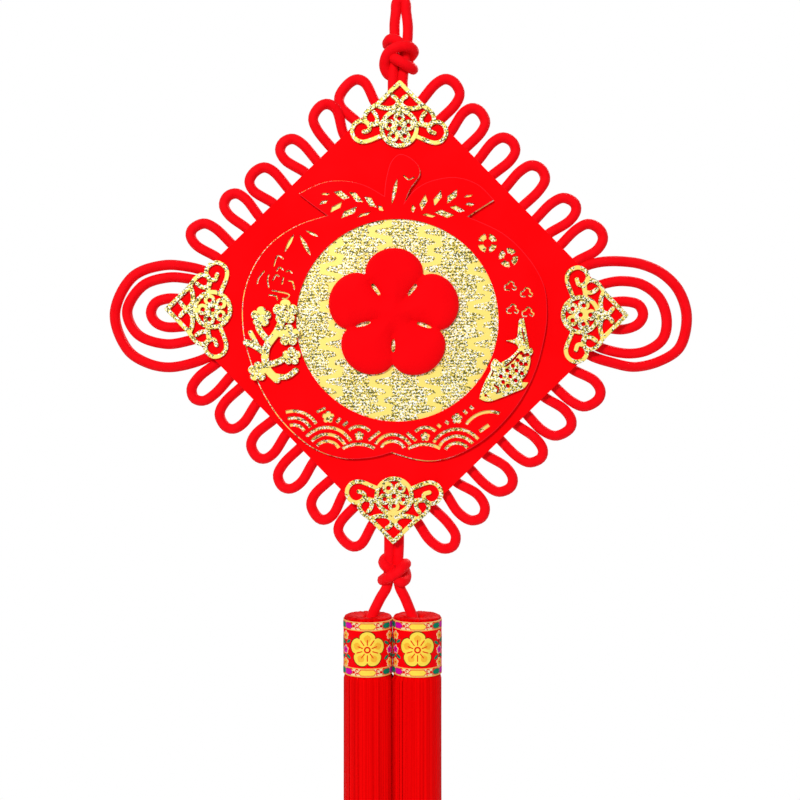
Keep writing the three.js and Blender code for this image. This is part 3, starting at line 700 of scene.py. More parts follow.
def laid(thing: bpy.types.Object, layer: Layer, thick: float) -> bpy.types.Object:
    """Stands flat work up and lays it on a layer of the board.

    Args:
        thing: The flat work, in X and Y.
        layer: The layer that it lies on.
        thick: Its thickness.

    Returns:
        The same object, in its place.
    """
    middle = Matrix.Translation((0, -(layer.back + thick / 2) * MM, 0))
    upright = Matrix.Rotation(math.pi / 2, 4, "X")
    thing.data.transform(layer.smaller() @ BOARD_FRAME @ middle @ upright)
    return thing


def flat_piece(name: str, loops: list[Flat], layer: Layer, bevel: float,
               rise: float = 0.0) -> bpy.types.Object:
    """Cuts a sheet with rounded edges and lays it on a layer of the board.

    Args:
        name: The object's name.
        loops: The closed outlines, across and up in the board's frame, in millimetres.
        layer: The layer that it lies on.
        bevel: How far the cut edges are rounded.
        rise: How much thicker than its layer it is.

    Returns:
        The mesh object, in its place.
    """
    return laid(cut_flat(name, loops, layer.thick + rise, bevel), layer, layer.thick + rise)


def slotted_piece(name: str, edge: Flat, slots: list[Flat], layer: Layer, bevel: float) -> bpy.types.Object:
    """Cuts a sheet, cuts slots through it that may run over its edge, and lays it on a layer of the board.

    Args:
        name: The object's name.
        edge: The sheet's outline, in millimetres.
        slots: The slots' outlines.
        layer: The layer that it lies on.
        bevel: How far the outline's edges are rounded.

    Returns:
        The mesh object, in its place.
    """
    sheet = cut_flat(name, [edge], layer.thick, bevel)
    cutters = join("cutters", [cut_flat("cutter", [slot], layer.thick * 3) for slot in slots])
    for thing in (sheet, cutters):
        apply_modifier(thing, "WELD", {"merge_threshold": 0.001 * MM})
    apply_modifier(sheet, "BOOLEAN", {"operation": "DIFFERENCE", "solver": "EXACT", "use_self": True,
                                      "object": cutters})
    bpy.data.objects.remove(cutters)
    return laid(sheet, layer, layer.thick)


def edge_tree(loops: list[Flat], layer: Layer) -> kdtree.KDTree:
    """Gathers points along outlines, seen from the front, to ask how near a place is to an edge.

    Args:
        loops: The closed outlines, in millimetres.
        layer: The layer that they lie on.

    Returns:
        The points, in metres, every half millimetre.
    """
    edge = [p for loop in loops for p in evened([Vector((*q, 0)) for q in [*loop, loop[0]]], 0.5)]
    tree = kdtree.KDTree(len(edge))
    for k, point in enumerate(edge):
        tree.insert(layer.smaller() @ BOARD_FRAME @ Vector((point.x * MM, 0, point.y * MM)), k)
    tree.balance()
    return tree


def cord_piece(name: str, lines: list[list[Vector]], width: float = LOOSE_CORD_WIDTH, cyclic: bool = False,
               rings: int = 3, step: float = 1.6) -> bpy.types.Object:
    """Sweeps round cord along lines, with a UV map in metres: round it, then along it.

    Args:
        name: The object's name.
        lines: The middle lines, in millimetres.
        width: The cord's width.
        cyclic: Whether each line closes on itself.
        rings: Blender's bevel resolution, for the sides of the section.
        step: How far apart the rings of the sweep are.

    Returns:
        The mesh object.
    """
    curve = bpy.data.curves.new(name, "CURVE")
    curve.dimensions = "3D"
    curve.bevel_depth = width / 2 * MM
    curve.bevel_resolution = rings
    curve.use_fill_caps = not cyclic
    curve.twist_mode = "MINIMUM"
    lengths = []
    for line in lines:
        even = evened(line, step)
        lengths.append(sum((b - a).length for a, b in zip(even, even[1:])) * MM)
        if cyclic:
            even = even[:-1]
        spline = curve.splines.new("POLY")
        spline.points.add(len(even) - 1)
        for point, at in zip(spline.points, even):
            point.co = (*(at * MM), 1)
        spline.use_cyclic_u = cyclic
    thing = link_new(name, curve)
    bpy.ops.object.convert(target="MESH")
    mean = sum(lengths) / len(lengths)
    for loop in thing.data.uv_layers[0].data:
        loop.uv = (loop.uv[0] * width * math.pi * MM, loop.uv[1] * mean)
    return thing


def smooth_shaded(thing: bpy.types.Object, angle: float = 40.0) -> None:
    """Shades the faces smooth, up to an angle in degrees."""
    activate(thing)
    bpy.ops.object.shade_smooth_by_angle(angle=math.radians(angle))


def dress(thing: bpy.types.Object, material: bpy.types.Material | None,
          nodes: list[str]) -> None:
    """Gives a finished piece its material and body, hides the CAD nodes that it stands for, and logs it.

    Args:
        thing: The piece.
        material: Its material, unless its parts have theirs.
        nodes: The CAD nodes that it replaces.
    """
    if material:
        thing.data.materials.clear()
        thing.data.materials.append(material)
    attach(thing, "root")
    if nodes:
        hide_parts(*nodes)
    LOG.info("%s: %d faces", thing.name, len(thing.data.polygons))


# The cord


@dataclass
class EdgeLoops:
    """The six loops of one edge of the board.

    Each row has the left foot, left bulge, tip, right bulge and right foot along the edge, then the tip's
    distance from the board's middle and how far the tip leans forward.
    """

    outward: float
    rows: list[tuple[float, ...]]
    root: float = 90.0
    bulge: float = 108.5
    shoulder_share: float = 0.72
    shoulder_rise: float = 0.74

    def lines(self) -> list[list[Vector]]:
        """Returns the loops' middle lines in the board's frame."""
        a = math.radians(self.outward)
        lines = []
        for foot_a, bulge_a, tip, bulge_b, foot_b, reach, lean in self.rows:
            high = self.bulge + (reach - self.bulge) * self.shoulder_rise
            near_a = tip + (bulge_a - tip) * self.shoulder_share
            near_b = tip + (bulge_b - tip) * self.shoulder_share
            flat = [(foot_a, self.root, 0), (foot_a, BOARD_SIDE / 2, 0), (bulge_a, self.bulge, 0.6),
                    (near_a, high, 0.9), (tip, reach, 1), (near_b, high, 0.9), (bulge_b, self.bulge, 0.6),
                    (foot_b, BOARD_SIDE / 2, 0), (foot_b, self.root, 0)]
            route = [(h * math.cos(a) + s * math.sin(a), -lean * share, h * math.sin(a) - s * math.cos(a))
                     for s, h, share in flat]
            lines.append(cord_line(route))
        return lines


EDGES = [
    EdgeLoops(135, [
        (-52.5, -56.2, -51.4, -41.6, -41.1, 116.7, 1), (-28.4, -30.4, -23.5, -17.0, -18.5, 116.6, -1),
        (-7.3, -10.5, -2.9, 5.6, 4.9, 115.4, 1), (18.4, 15.2, 21.4, 28.8, 28.0, 116.5, -1),
        (39.4, 40.7, 50.7, 56.7, 49.9, 115.7, 3), (60.4, 60.2, 73.4, 79.9, 75.7, 115.0, -3),
    ]),
    EdgeLoops(45, [
        (-77.7, -78.9, -71.7, -62.5, -62.4, 116.5, 1), (-52.9, -55.9, -50.2, -40.7, -40.3, 116.0, -1),
        (-30.1, -31.6, -24.1, -17.0, -18.2, 116.7, 1), (-7.6, -8.6, -1.0, 7.1, 7.0, 118.2, -1),
        (17.7, 17.5, 26.6, 32.0, 29.0, 117.8, 1), (38.5, 38.4, 47.5, 55.2, 51.7, 118.1, -1),
    ]),
    EdgeLoops(-45, [
        (-50.1, -54.4, -48.2, -36.7, -35.6, 117.7, 1), (-27.1, -30.4, -25.0, -12.9, -12.8, 118.6, -1),
        (-4.3, -6.7, -1.2, 8.3, 8.5, 118.9, 1), (20.6, 17.2, 23.4, 32.7, 32.8, 119.0, -1),
        (43.8, 40.1, 47.4, 55.3, 52.9, 119.7, 1), (64.2, 63.9, 71.3, 78.4, 76.1, 120.2, -1),
    ]),
    EdgeLoops(-135, [
        (-78.4, -82.1, -74.5, -64.8, -64.0, 114.2, 1), (-54.0, -58.6, -54.3, -42.9, -43.0, 115.8, -1),
        (-28.8, -32.2, -26.5, -17.5, -17.4, 117.8, 1), (-6.1, -9.0, -3.5, 6.1, 5.1, 116.6, -1),
        (18.6, 15.7, 21.4, 31.7, 31.6, 117.2, 1), (40.3, 39.5, 46.0, 53.0, 51.4, 119.1, -1),
    ]),
]

# The ears, nested round the left and right corners: across and up in the board's frame
EARS: list[Flat] = [
    [(-107.4, 21.1), (-120.2, 24.4), (-135.7, 25.2), (-153.3, 18.3), (-163.3, -3.3), (-155.7, -23.9),
     (-145.5, -31.0), (-131.9, -33.9), (-114.2, -30.0), (-103, -24.4)],
    [(-111.9, 15.8), (-121.2, 17.7), (-132.6, 18.2), (-147.3, 13.2), (-156.2, -1.7), (-149.9, -15.0),
     (-133.6, -20.4), (-120.3, -18.3), (-112.1, -15.5)],
    [(-119.9, 5.3), (-132.5, 6.0), (-139.9, 3.3), (-142.4, -2.3), (-140.0, -7.5), (-133.7, -10.5),
     (-118, -9.5)],
    [(103, 22.5), (108.3, 27.6), (117.6, 30.6), (130.1, 31.2), (142.5, 29.5), (154.5, 24.0), (163.6, 14.5),
     (168.3, -0.4), (164.4, -18.2), (153.7, -26.0), (138.6, -29.9), (125.3, -27.6), (113.1, -23.7),
     (107.5, -19.5)],
    [(112.5, 14), (115.4, 16.1), (121.8, 18.5), (130.2, 19.8), (142.1, 18.0), (152.4, 10.0), (156.7, -2.3),
     (154.7, -13.3), (146.1, -20.0), (135.6, -22.2), (121.3, -19.9), (111, -15.5)],
    [(120, 6), (124, 7.2), (132.8, 8.0), (140.5, 6.0), (143.0, 0.4), (140.1, -5.0), (131.8, -8.2),
     (119, -7)],
]

HANGING_LOOP: list[Route] = [
    [(-4.7, 0, -54), (-4.7, 0, -44), (-4.2, 0, -30), (-3.7, 0, -18), (-3.7, 0, -11), (-2.95, 0, -3.5),
     (-2.9, 0, -0.2), (-2.1, 0, 2.0), (0, 0, 2.95), (2.1, 0, 2.0), (2.9, 0, -0.2), (2.95, 0, -3.5),
     (3.9, 0, -11), (3.9, 0, -18), (2.4, 0, -30), (1.0, 0, -44), (1.0, 0, -54)],
]
TOP_KNOT: list[Route] = [
    [(-3.6, 1.5, -41.5), (-7.6, 0.8, -40), (-9.7, -1.4, -35.4), (-7.5, -4.8, -29.3), (-2.3, -6.2, -26.4),
     (4.1, -5.6, -25.8), (7.5, -1.2, -27.3), (4.1, 4.5, -30.2), (-2.3, 5.2, -34.4), (-4, 2, -38)],
    [(-4.4, -1, -30.8), (-3.4, -5, -32.6), (2.3, -6.0, -36.0), (6.9, -2.0, -37.9), (6.0, 2.8, -35.4),
     (1.2, 5.6, -29.6), (-4.6, 4.8, -24.4), (-8.0, 0.5, -22.6), (-5.6, -4.2, -21.0), (-1.4, -4.4, -22.8),
     (-0.6, -1, -25)],
]
LEGS: list[Route] = [
    [(-6.8, 0, -303), (-6.8, 0, -313), (-7.0, 0, -325), (-8.1, 0, -337), (-11.9, 0, -343.9),
     (-15.7, 0, -351.5), (-17.6, 0, -356.1), (-18.4, 0, -360.5)],
    [(-1.3, 0, -303), (-1.3, 0, -313), (-1.7, 0, -325), (-0.9, 0, -337), (2.3, 0, -343.9), (5.4, 0, -351.5),
     (7.2, 0, -356.1), (8.0, 0, -360.5)],
]
BOTTOM_KNOT: list[Route] = [
    [(-7, 1.5, -331), (-10.9, 0.4, -333.6), (-8.1, -4.8, -331.8), (-4.1, -6.2, -329.4), (0, -5.6, -326.5),
     (2.9, -1.5, -323.9), (0.6, 3.8, -325.4), (-3.4, 4.6, -328.6)],
    [(-5.0, -2.2, -327.2), (-8.4, -3.6, -325.4), (-10.3, 0, -322.9), (-7.5, 4.2, -320.7),
     (-2.3, 5.8, -322.5), (1.9, 4.2, -327.7), (3.0, 0.2, -332.2), (0.3, -4.4, -334.0), (-3.0, -4.0, -332.0)],
]


@dataclass
class KnottedCord:
    """The one long cord: the weave behind the board, its loops and ears, and the knots above and below."""

    pairs: int = 16
    weave_side: float = 181.0
    swing: float = 2.55
    # Below 1, the strands cross quickly between lying over and lying under
    quickness: float = 0.6
    steps_per_pair: int = 6
    finish: KnittedCover = field(default_factory=KnittedCover)

    def _hairpin(self, index: int, upright: bool) -> list[Vector]:
        """Follows one pair of strands through the weave and back.

        Args:
            index: The pair's number across the weave.
            upright: Whether the pair runs up the weave rather than across it.

        Returns:
            The closed middle line, over and under the pairs that it crosses.
        """
        pitch = self.weave_side / self.pairs
        middle = (index + 0.5) * pitch - self.weave_side / 2
        half = self.weave_side / 2 - CORD_WIDTH / 2
        side = pitch / 4
        phase = 0 if upright else 1
        line = []
        steps = self.pairs * self.steps_per_pair
        for way in (1, -1):
            for k in range(steps + 1):
                s = way * (-half + 2 * half * k / steps)
                turn = math.cos(math.pi * ((s + self.weave_side / 2) / pitch - 0.5 + index + phase))
                depth = self.swing * math.copysign(abs(turn) ** self.quickness, turn)
                line.append((s, middle + way * side, depth))
            for a in (-60, -30, 0, 30, 60):
                turn = math.radians(a)
                line.append((way * (half + side * math.cos(turn)),
                             middle - way * side * math.sin(turn), 0.0))
        line.append(line[0])
        diamond = Matrix.Rotation(math.radians(-45), 3, "Y")
        flat = [(v, y, u) if upright else (u, y, v) for u, v, y in line]
        return [diamond @ Vector(p) for p in flat]

    def build(self) -> None:
        """Makes the cord and dresses it."""
        material = self.finish.build()
        weave = [self._hairpin(k, upright) for k in range(self.pairs) for upright in (False, True)]
        loops = [line for edge in EDGES for line in edge.lines()]
        ears = [cord_line([(x, 0, z) for x, z in ear]) for ear in EARS]
        hung = [cord_piece("weave", weave, CORD_WIDTH, cyclic=True, rings=1, step=2.2)]
        hung += [cord_piece(f"loop_{k}", [line]) for k, line in enumerate(loops + ears)]
        for part in hung:
            part.data.transform(BOARD_FRAME)
        knots = [cord_piece(f"knot_{k}", [cord_line(route)], step=1.0, rings=4)
                 for k, route in enumerate([*HANGING_LOOP, *TOP_KNOT, *LEGS, *BOTTOM_KNOT])]
        cord = join("knotted_cord", hung + knots)
        smooth_shaded(cord, 60)
        dress(cord, material, ["knot_cord"])


# The board and what lies on it

APPLE_OUTLINE: list[Flat] = [
    [(-1.6, -81.3), (12, -85.0), (25, -85.6), (41, -80.2), (57, -69), (71.2, -52.5), (81, -33), (86.4, -11),
     (87.2, 5), (84.6, 18.5), (75.5, 33.2), (61, 46.6), (40.4, 56)],
    [(40.4, 56), (48, 61.2), (55.5, 66)],
    [(55.5, 66), (46, 74.8), (33, 78.7), (19, 76.4), (9.5, 71), (4, 64)],
    [(4, 64), (6.8, 71.5), (12.4, 80.5), (9.6, 87.4), (1.4, 91.7), (-4.4, 87), (-7.3, 76), (-8, 67.2)],
    [(-8, 67.2), (-20, 73.5), (-33, 75.7), (-45, 74), (-57.8, 67.7)],
    [(-57.8, 67.7), (-50, 61.8), (-40.8, 55.4)],
    [(-40.8, 55.4), (-58, 49.4), (-73, 39), (-83.2, 24.8), (-88.8, 7), (-88.4, -13), (-83.6, -31),
     (-76.4, -48), (-64.2, -65.3), (-47.5, -79.2), (-30, -85.2), (-13.5, -84.6), (-1.6, -81.3)],
]

# Slots beside the left leaf's midrib: middle x, middle z, length, width, slant. Those of the right leaf
# mirror them, with both middles adding up to the first number below. The ends lean by the second, a share
# of the length
LEAF_SLOTS = [
    (-42.2, 68.0, 5.6, 1.3, -6), (-32.8, 67.6, 9.8, 3.4, -38), (-24.4, 66.4, 9.8, 3.0, -52),
    (-16.2, 63.8, 9.2, 3.2, -60), (-10.2, 60.2, 4.4, 2.2, -68), (-43.2, 63.2, 5.6, 1.9, 12),
    (-36, 60.4, 9.2, 2.7, 28), (-28.4, 57.5, 11.6, 3.2, 22), (-19.6, 56.4, 8.6, 1.6, 14),
]
LEAF_MIRROR = -1.5
LEAF_LEAN = 0.28
# Pointed slots, in the same way: three bamboo leaves and the line up the stalk
POINTED_SLOTS = [
    (-63.0, 38.9, 12.6, 2.1, 63), (-53.6, 38.1, 14.0, 2.3, -61), (-49.6, 44.9, 8.8, 1.7, -26),
    (-2.2, 70.0, 15.6, 2.3, 79),
]
# Fine slits that run like brush lines: a small curve below the stalk's tip, reeds and water at the left
FINE_SLITS: list[Flat] = [
    [(3.2, 79.2), (5.9, 77.1), (9, 78.4)],
    [(-71.5, 26.0), (-70.0, 31.1), (-68.4, 31.7), (-66.3, 30.2)],
    [(-69.9, 22.9), (-68.3, 25.1), (-66.1, 23.6)],
    [(-72.0, 17.5), (-70.1, 20.7), (-68.6, 19.8)], [(-64.2, 22.7), (-62.6, 23.2), (-61.0, 21.8)],
    [(-81.1, 15.5), (-80.2, 18.7), (-77.1, 22.8)], [(-74.5, 20.6), (-75.1, 17.5), (-74.4, 13.4)],
    [(-66.0, 19.2), (-66.7, 15.4)], [(-62.9, 17.3), (-60.6, 16.7), (-59.6, 12.6)],
    [(-72.2, 11.5), (-65.3, 10.4), (-62.4, 9.1), (-64.0, 7.2), (-66.5, 7.2)],
    [(-74.1, 9.0), (-70.3, 8.4), (-69.3, 6.2)],
]
FINE_SLIT_WIDTH = 0.9
# A small cloud as one open line, and the clouds at the right: middle x, middle z
CLOUD_LINE: Flat = [(-0.8, -2.2), (-3.0, -2.0), (-3.2, 0.2), (-1.6, 1.0), (-0.2, 2.8), (1.8, 2.0),
                    (2.0, 0.4), (3.4, -0.6), (2.6, -2.2), (1.2, -1.4)]
CLOUDS = [(65.8, 16.0), (75.2, 12.4), (67.2, 2.6), (76.2, 1.0)]
# Coins: middle x, middle z, radius, turn
COINS = [(52.2, 40.8, 6.1, 0), (64.4, 32.6, 6.1, 24)]
# Wave fans: middle x, middle z, start and end of the arcs, then the radius of each arc
WAVE_FANS = [
    (-58.8, -73.6, 108, 32, 15.4, 11.4, 7.4), (-39.2, -83.2, 140, 30, 15.8, 11.8, 7.8),
    (-20.7, -94.9, 122, 60, 18), (-20.9, -75.2, 132, 44, 8.6), (-1.2, -82.6, 150, 30, 11.6, 7.8),
    (17.4, -94.4, 122, 60, 18), (17.9, -75.0, 136, 48, 8.4), (36.2, -83.2, 150, 40, 15.8, 11.8, 7.8),
    (55.4, -74.0, 146, 72, 17),
]
WAVE_SLOT_WIDTH = 1.9
# Short bars between the waves: middle x, middle z, length, width, slant
SMALL_BARS = [
    (-43, -57.4, 5.6, 1.7, 26), (-32.8, -63.2, 3.4, 1.9, 52), (-28.8, -65.2, 3.6, 1.9, 44),
    (-12, -72, 8.2, 1.8, 38), (9.7, -72.2, 7, 1.8, -40), (25.6, -65.6, 2.6, 1.8, -42),
    (30.2, -63.6, 2.6, 1.8, -36), (40.6, -57.4, 3, 1.8, -44), (44.3, -54.8, 2.8, 1.8, -40),
    (51.8, -66.6, 6.6, 2.2, 36),
]
# Five-lobed slots: middle x, middle z, radius
SMALL_FLOWERS = [(-20.7, -72.1, 2.8), (-38.9, -61.4, 3.6), (17.6, -72.0, 2.8), (35.9, -61.2, 3.2)]


@dataclass
class FlockedBoard:
    """The square foam board that hangs on its corner and covers the weave."""

    finish: FlockedFoam = field(default_factory=FlockedFoam)

    def build(self) -> None:
        """Makes the board."""
        half = BOARD_SIDE / math.sqrt(2)
        square = [(half, 0), (0, half), (-half, 0), (0, -half)]
        board = flat_piece("flocked_board", [square], Layer.BOARD, 0.4)
        smooth_shaded(board)
        dress(board, self.finish.build(), ["diamond_board"])


@dataclass
class AppleSheets:
    """The glitter card and the flocked apple on it, whose slots show the glitter."""

    disc_x: float = 0.5
    disc_z: float = -4.7
    disc_radius: float = 58.8
    glitter_turn: float = -0.4
    glitter_shift: float = -0.4
    glitter_drop: float = 0.2
    seen_edge: float = 0.75
    rounding: float = 0.3
    flock: FlockedFoam = field(default_factory=lambda: FlockedFoam("flocked_apple_red"))
    # A lighter red for the cut outline: painted highlight along the rim, and the foam's own lighter cut
    foam: FlockedFoam = field(default_factory=lambda: FlockedFoam("cut_edge_painted_highlight", 0xFF1C2C, 0xFF2C38))
    glitter: GlitterCard = field(default_factory=lambda: GlitterCard("glitter_card_gold", columns=True))

    def _slots(self) -> list[Flat]:
        """Returns the outlines of all the slots."""
        slots = [disc(self.disc_x, self.disc_z, self.disc_radius, 120)]
        for x, z, length, width, slant in LEAF_SLOTS:
            slots.append(bar_slot(x, z, length, width, slant, length * LEAF_LEAN))
            slots.append(bar_slot(LEAF_MIRROR - x, z, length, width, 180 - slant, length * LEAF_LEAN))
        slots += [leaf_slot(*row) for row in POINTED_SLOTS]
        slots += [ribbon(line, FINE_SLIT_WIDTH, 4) for line in FINE_SLITS]
        slots += [ribbon([(x + u, z + v) for u, v in CLOUD_LINE], FINE_SLIT_WIDTH, 4) for x, z in CLOUDS]
        for x, z, radius, turn in COINS:
            slots += [arc_slot(x, z, radius * 0.66, radius * 0.52, k * 90 + 13 + turn, k * 90 + 77 + turn, 6)
                      for k in range(4)]
        for x, z, start, end, *radii in WAVE_FANS:
            slots += [arc_slot(x, z, radius, WAVE_SLOT_WIDTH, start, end) for radius in radii]
        slots += [bar_slot(*row) for row in SMALL_BARS]
        slots += [lobed(x, z, radius, radius * 0.7, 5, 90, 6) for x, z, radius in SMALL_FLOWERS]
        return slots

    def build(self) -> None:
        """Makes both sheets."""
        edge = outline(APPLE_OUTLINE, 6)
        shown = turned(self.glitter_shift, -self.glitter_drop, self.glitter_turn, edge)
        card = flat_piece("glitter_card", [shown], Layer.GLITTER, 0.2)
        smooth_shaded(card)
        dress(card, self.glitter.build(), ["glitter_sheet"])
        apple = slotted_piece("flocked_apple", edge, self._slots(), Layer.APPLE, self.rounding)
        smooth_shaded(apple)
        dress(apple, self.flock.build(), ["apple_sheet"])
        self._edge(apple, edge)

    def _edge(self, apple: bpy.types.Object, edge: Flat) -> None:
        """Paints the rounded cut along the apple's outline a lighter red: a painted highlight along the rim,
        and the foam there lighter than its flock.

        Args:
            apple: The apple sheet.
            edge: Its outline.
        """
        apple.data.materials.append(self.foam.build())
        tree = edge_tree([edge], Layer.APPLE)
        # Rounded faces near the outline take the lighter red, a painted highlight along the rim
        for face in apple.data.polygons:
            near = tree.find((face.center.x, 0, face.center.z))[2]
            if near < self.seen_edge * MM and abs(face.normal.y) < 0.98:
                face.material_index = 1


@dataclass
class PuffyBlossom:
    """The padded five-petal blossom in the middle, its slits showing the glitter."""

    x: float = -1.7
    z: float = -1.2
    tip: float = 39.0
    notch: float = 27.0
    petals: int = 5
    slit_from: float = 11.0
    slit_to: float = 25.0
    slit_width: float = 2.4
    edge_height: float = 1.4
    round_over: float = 12.5
    voxel: float = 0.7
    finish: FlockedFoam = field(default_factory=lambda: FlockedFoam("flocked_padding_red", 0xF2000A))

    def build(self) -> None:
        """Makes the blossom."""
        loops = [lobed(self.x, self.z, self.tip, self.notch, self.petals, 90, 40)]
        for k in range(self.petals):
            slant = 90 + 360 * (k + 0.5) / self.petals
            reach = (self.slit_from + self.slit_to) / 2
            c, s = toward(slant)
            loops.append(leaf_slot(self.x + reach * c, self.z + reach * s, self.slit_to - self.slit_from,
                                   self.slit_width, slant))
        blossom = flat_piece("puffy_blossom", loops, Layer.BLOSSOM, 0.2)
        apply_modifier(blossom, "REMESH", {"mode": "VOXEL", "voxel_size": self.voxel * MM})
        self._puff(blossom, loops)
        apply_modifier(blossom, "SMOOTH", {"factor": 0.5, "iterations": 4})
        smooth_shaded(blossom, 60)
        dress(blossom, self.finish.build(), ["centre_blossom"])

    def _puff(self, blossom: bpy.types.Object, loops: list[Flat]) -> None:
        """Rounds the front down towards every edge.

        Args:
            blossom: The remeshed plate.
            loops: Its outlines.
        """
        tree = edge_tree(loops, Layer.BLOSSOM)
        back, thick = Layer.BLOSSOM.back * MM, Layer.BLOSSOM.thick * MM
        for vertex in blossom.data.vertices:
            near = tree.find((vertex.co.x, 0, vertex.co.z))[2]
            share = 1 - min(near / (self.round_over * MM), 1)
            height = self.edge_height * MM + (thick - self.edge_height * MM) * math.sqrt(1 - share * share)
            vertex.co.y = -back + (vertex.co.y + back) * height / thick


# One corner piece with its apex at the origin: the width and the middle line of each band of its left
# half, which is mirrored, and the short stem on its middle
CORNER_BANDS: list[tuple[float, Flat]] = [
    (2.5, [(0, -1.9), (-12.8, -14.6)]),
    (2.4, [(-11.8, -13.9), (-16.6, -17.1), (-19.4, -20.0), (-20.1, -22.9), (-18.8, -25.3), (-16.3, -26.6),
           (-13.7, -26.0), (-12.8, -23.5), (-13.5, -21.1), (-14.9, -19.3)]),
    (2.5, [(-13.5, -15.2), (-10.3, -16.4), (-6.4, -16.9), (-3.1, -16.2), (-1.1, -14.2), (-1.4, -11.8),
           (-3.8, -9.8)]),
    (2.4, [(-9.8, -32.8), (-13.7, -34.4), (-17.1, -35.8), (-20.9, -36.6), (-24.4, -35.6), (-26.8, -32.8),
           (-27.3, -29.3), (-25.4, -25.9), (-22.2, -24.4), (-19.2, -25.3), (-17.3, -27.5), (-17.7, -29.8),
           (-20.5, -30.8)]),
    (2.6, [(-17.0, -26.4), (-10.2, -25.6)]),
]
CORNER_STEM: tuple[float, Flat] = (2.0, [(0, -15), (0, -19.5)])
SPRIG_BANDS: list[tuple[float, Flat]] = [
    (4.4, [(-69, -40), (-75, -33), (-75.4, -22), (-69, -12), (-65, -2)]),
    (3.8, [(-75.5, -25), (-82, -20.6), (-87, -18.8)]),
    (3.6, [(-74, -18), (-80, -10), (-78, -3)]),
    (3.6, [(-76, -32), (-68, -29.6), (-61, -25)]),
    (3.2, [(-73, -37.4), (-64, -38.5), (-58, -34.6)]),
    (3.4, [(-70, -13.6), (-62, -13.6)]),
    (3.4, [(-76, -33), (-80.8, -36)]),
    (2.8, [(-81, -19.6), (-84.6, -13)]),
]
# Blossoms of the sprig: middle x, middle z, radius
SPRIG_BLOSSOMS = [(-64.6, -0.8, 7.4), (-62.4, -14.4, 6.4), (-78.6, -3.8, 6.0), (-80, -35.6, 5.8),
                  (-60.6, -26.4, 5.4)]
CARP_OUTLINE: list[Flat] = [
    [(48.7, -49.6), (54, -51.2), (62, -48.6), (69.5, -45.4)],
    [(69.5, -45.4), (74.4, -43.2), (77, -39.8)],
    [(77, -39.8), (73.2, -39.0), (76.2, -34.4), (78, -28), (77.9, -24.6)],
    [(77.9, -24.6), (79.5, -22), (78.6, -19.6), (77.4, -20.4)],
    [(77.4, -20.4), (75.8, -12), (73.8, -2.2)],
    [(73.8, -2.2), (71.2, -3.6), (70.6, -9), (69.6, -14.2), (63.4, -15.6)],
    [(63.4, -15.6), (69, -17.4), (70.8, -20.2), (66, -25.4), (60.6, -28.6)],
    [(60.6, -28.6), (57.4, -26.2), (55.2, -29.6), (55.3, -32.9)],
    [(55.3, -32.9), (52.4, -38.4), (49.6, -45.4), (48.7, -49.6)],
]
# The middle of the carp's body from head to tail, and how far its outer rows of scales lie from it
CARP_SPINE: Flat = [(58.6, -42.4), (64.6, -38), (70, -33), (73.6, -26.6), (75, -19.6)]
CARP_ROWS = (3.4, 3.8, 3.4, 2.7, 1.8)
CARP_SLITS: list[tuple[float, Flat]] = [
    (1.2, [(57.4, -41.6), (59.6, -43.2), (59.2, -45.4)]),
    (1.2, [(64.2, -30.2), (67.4, -27.5), (71.2, -22.9)]),
    (0.8, [(72.9, -8.6), (73.6, -12.4), (74.4, -16)]), (0.9, [(55.8, -36.2), (56.4, -34)]),
]


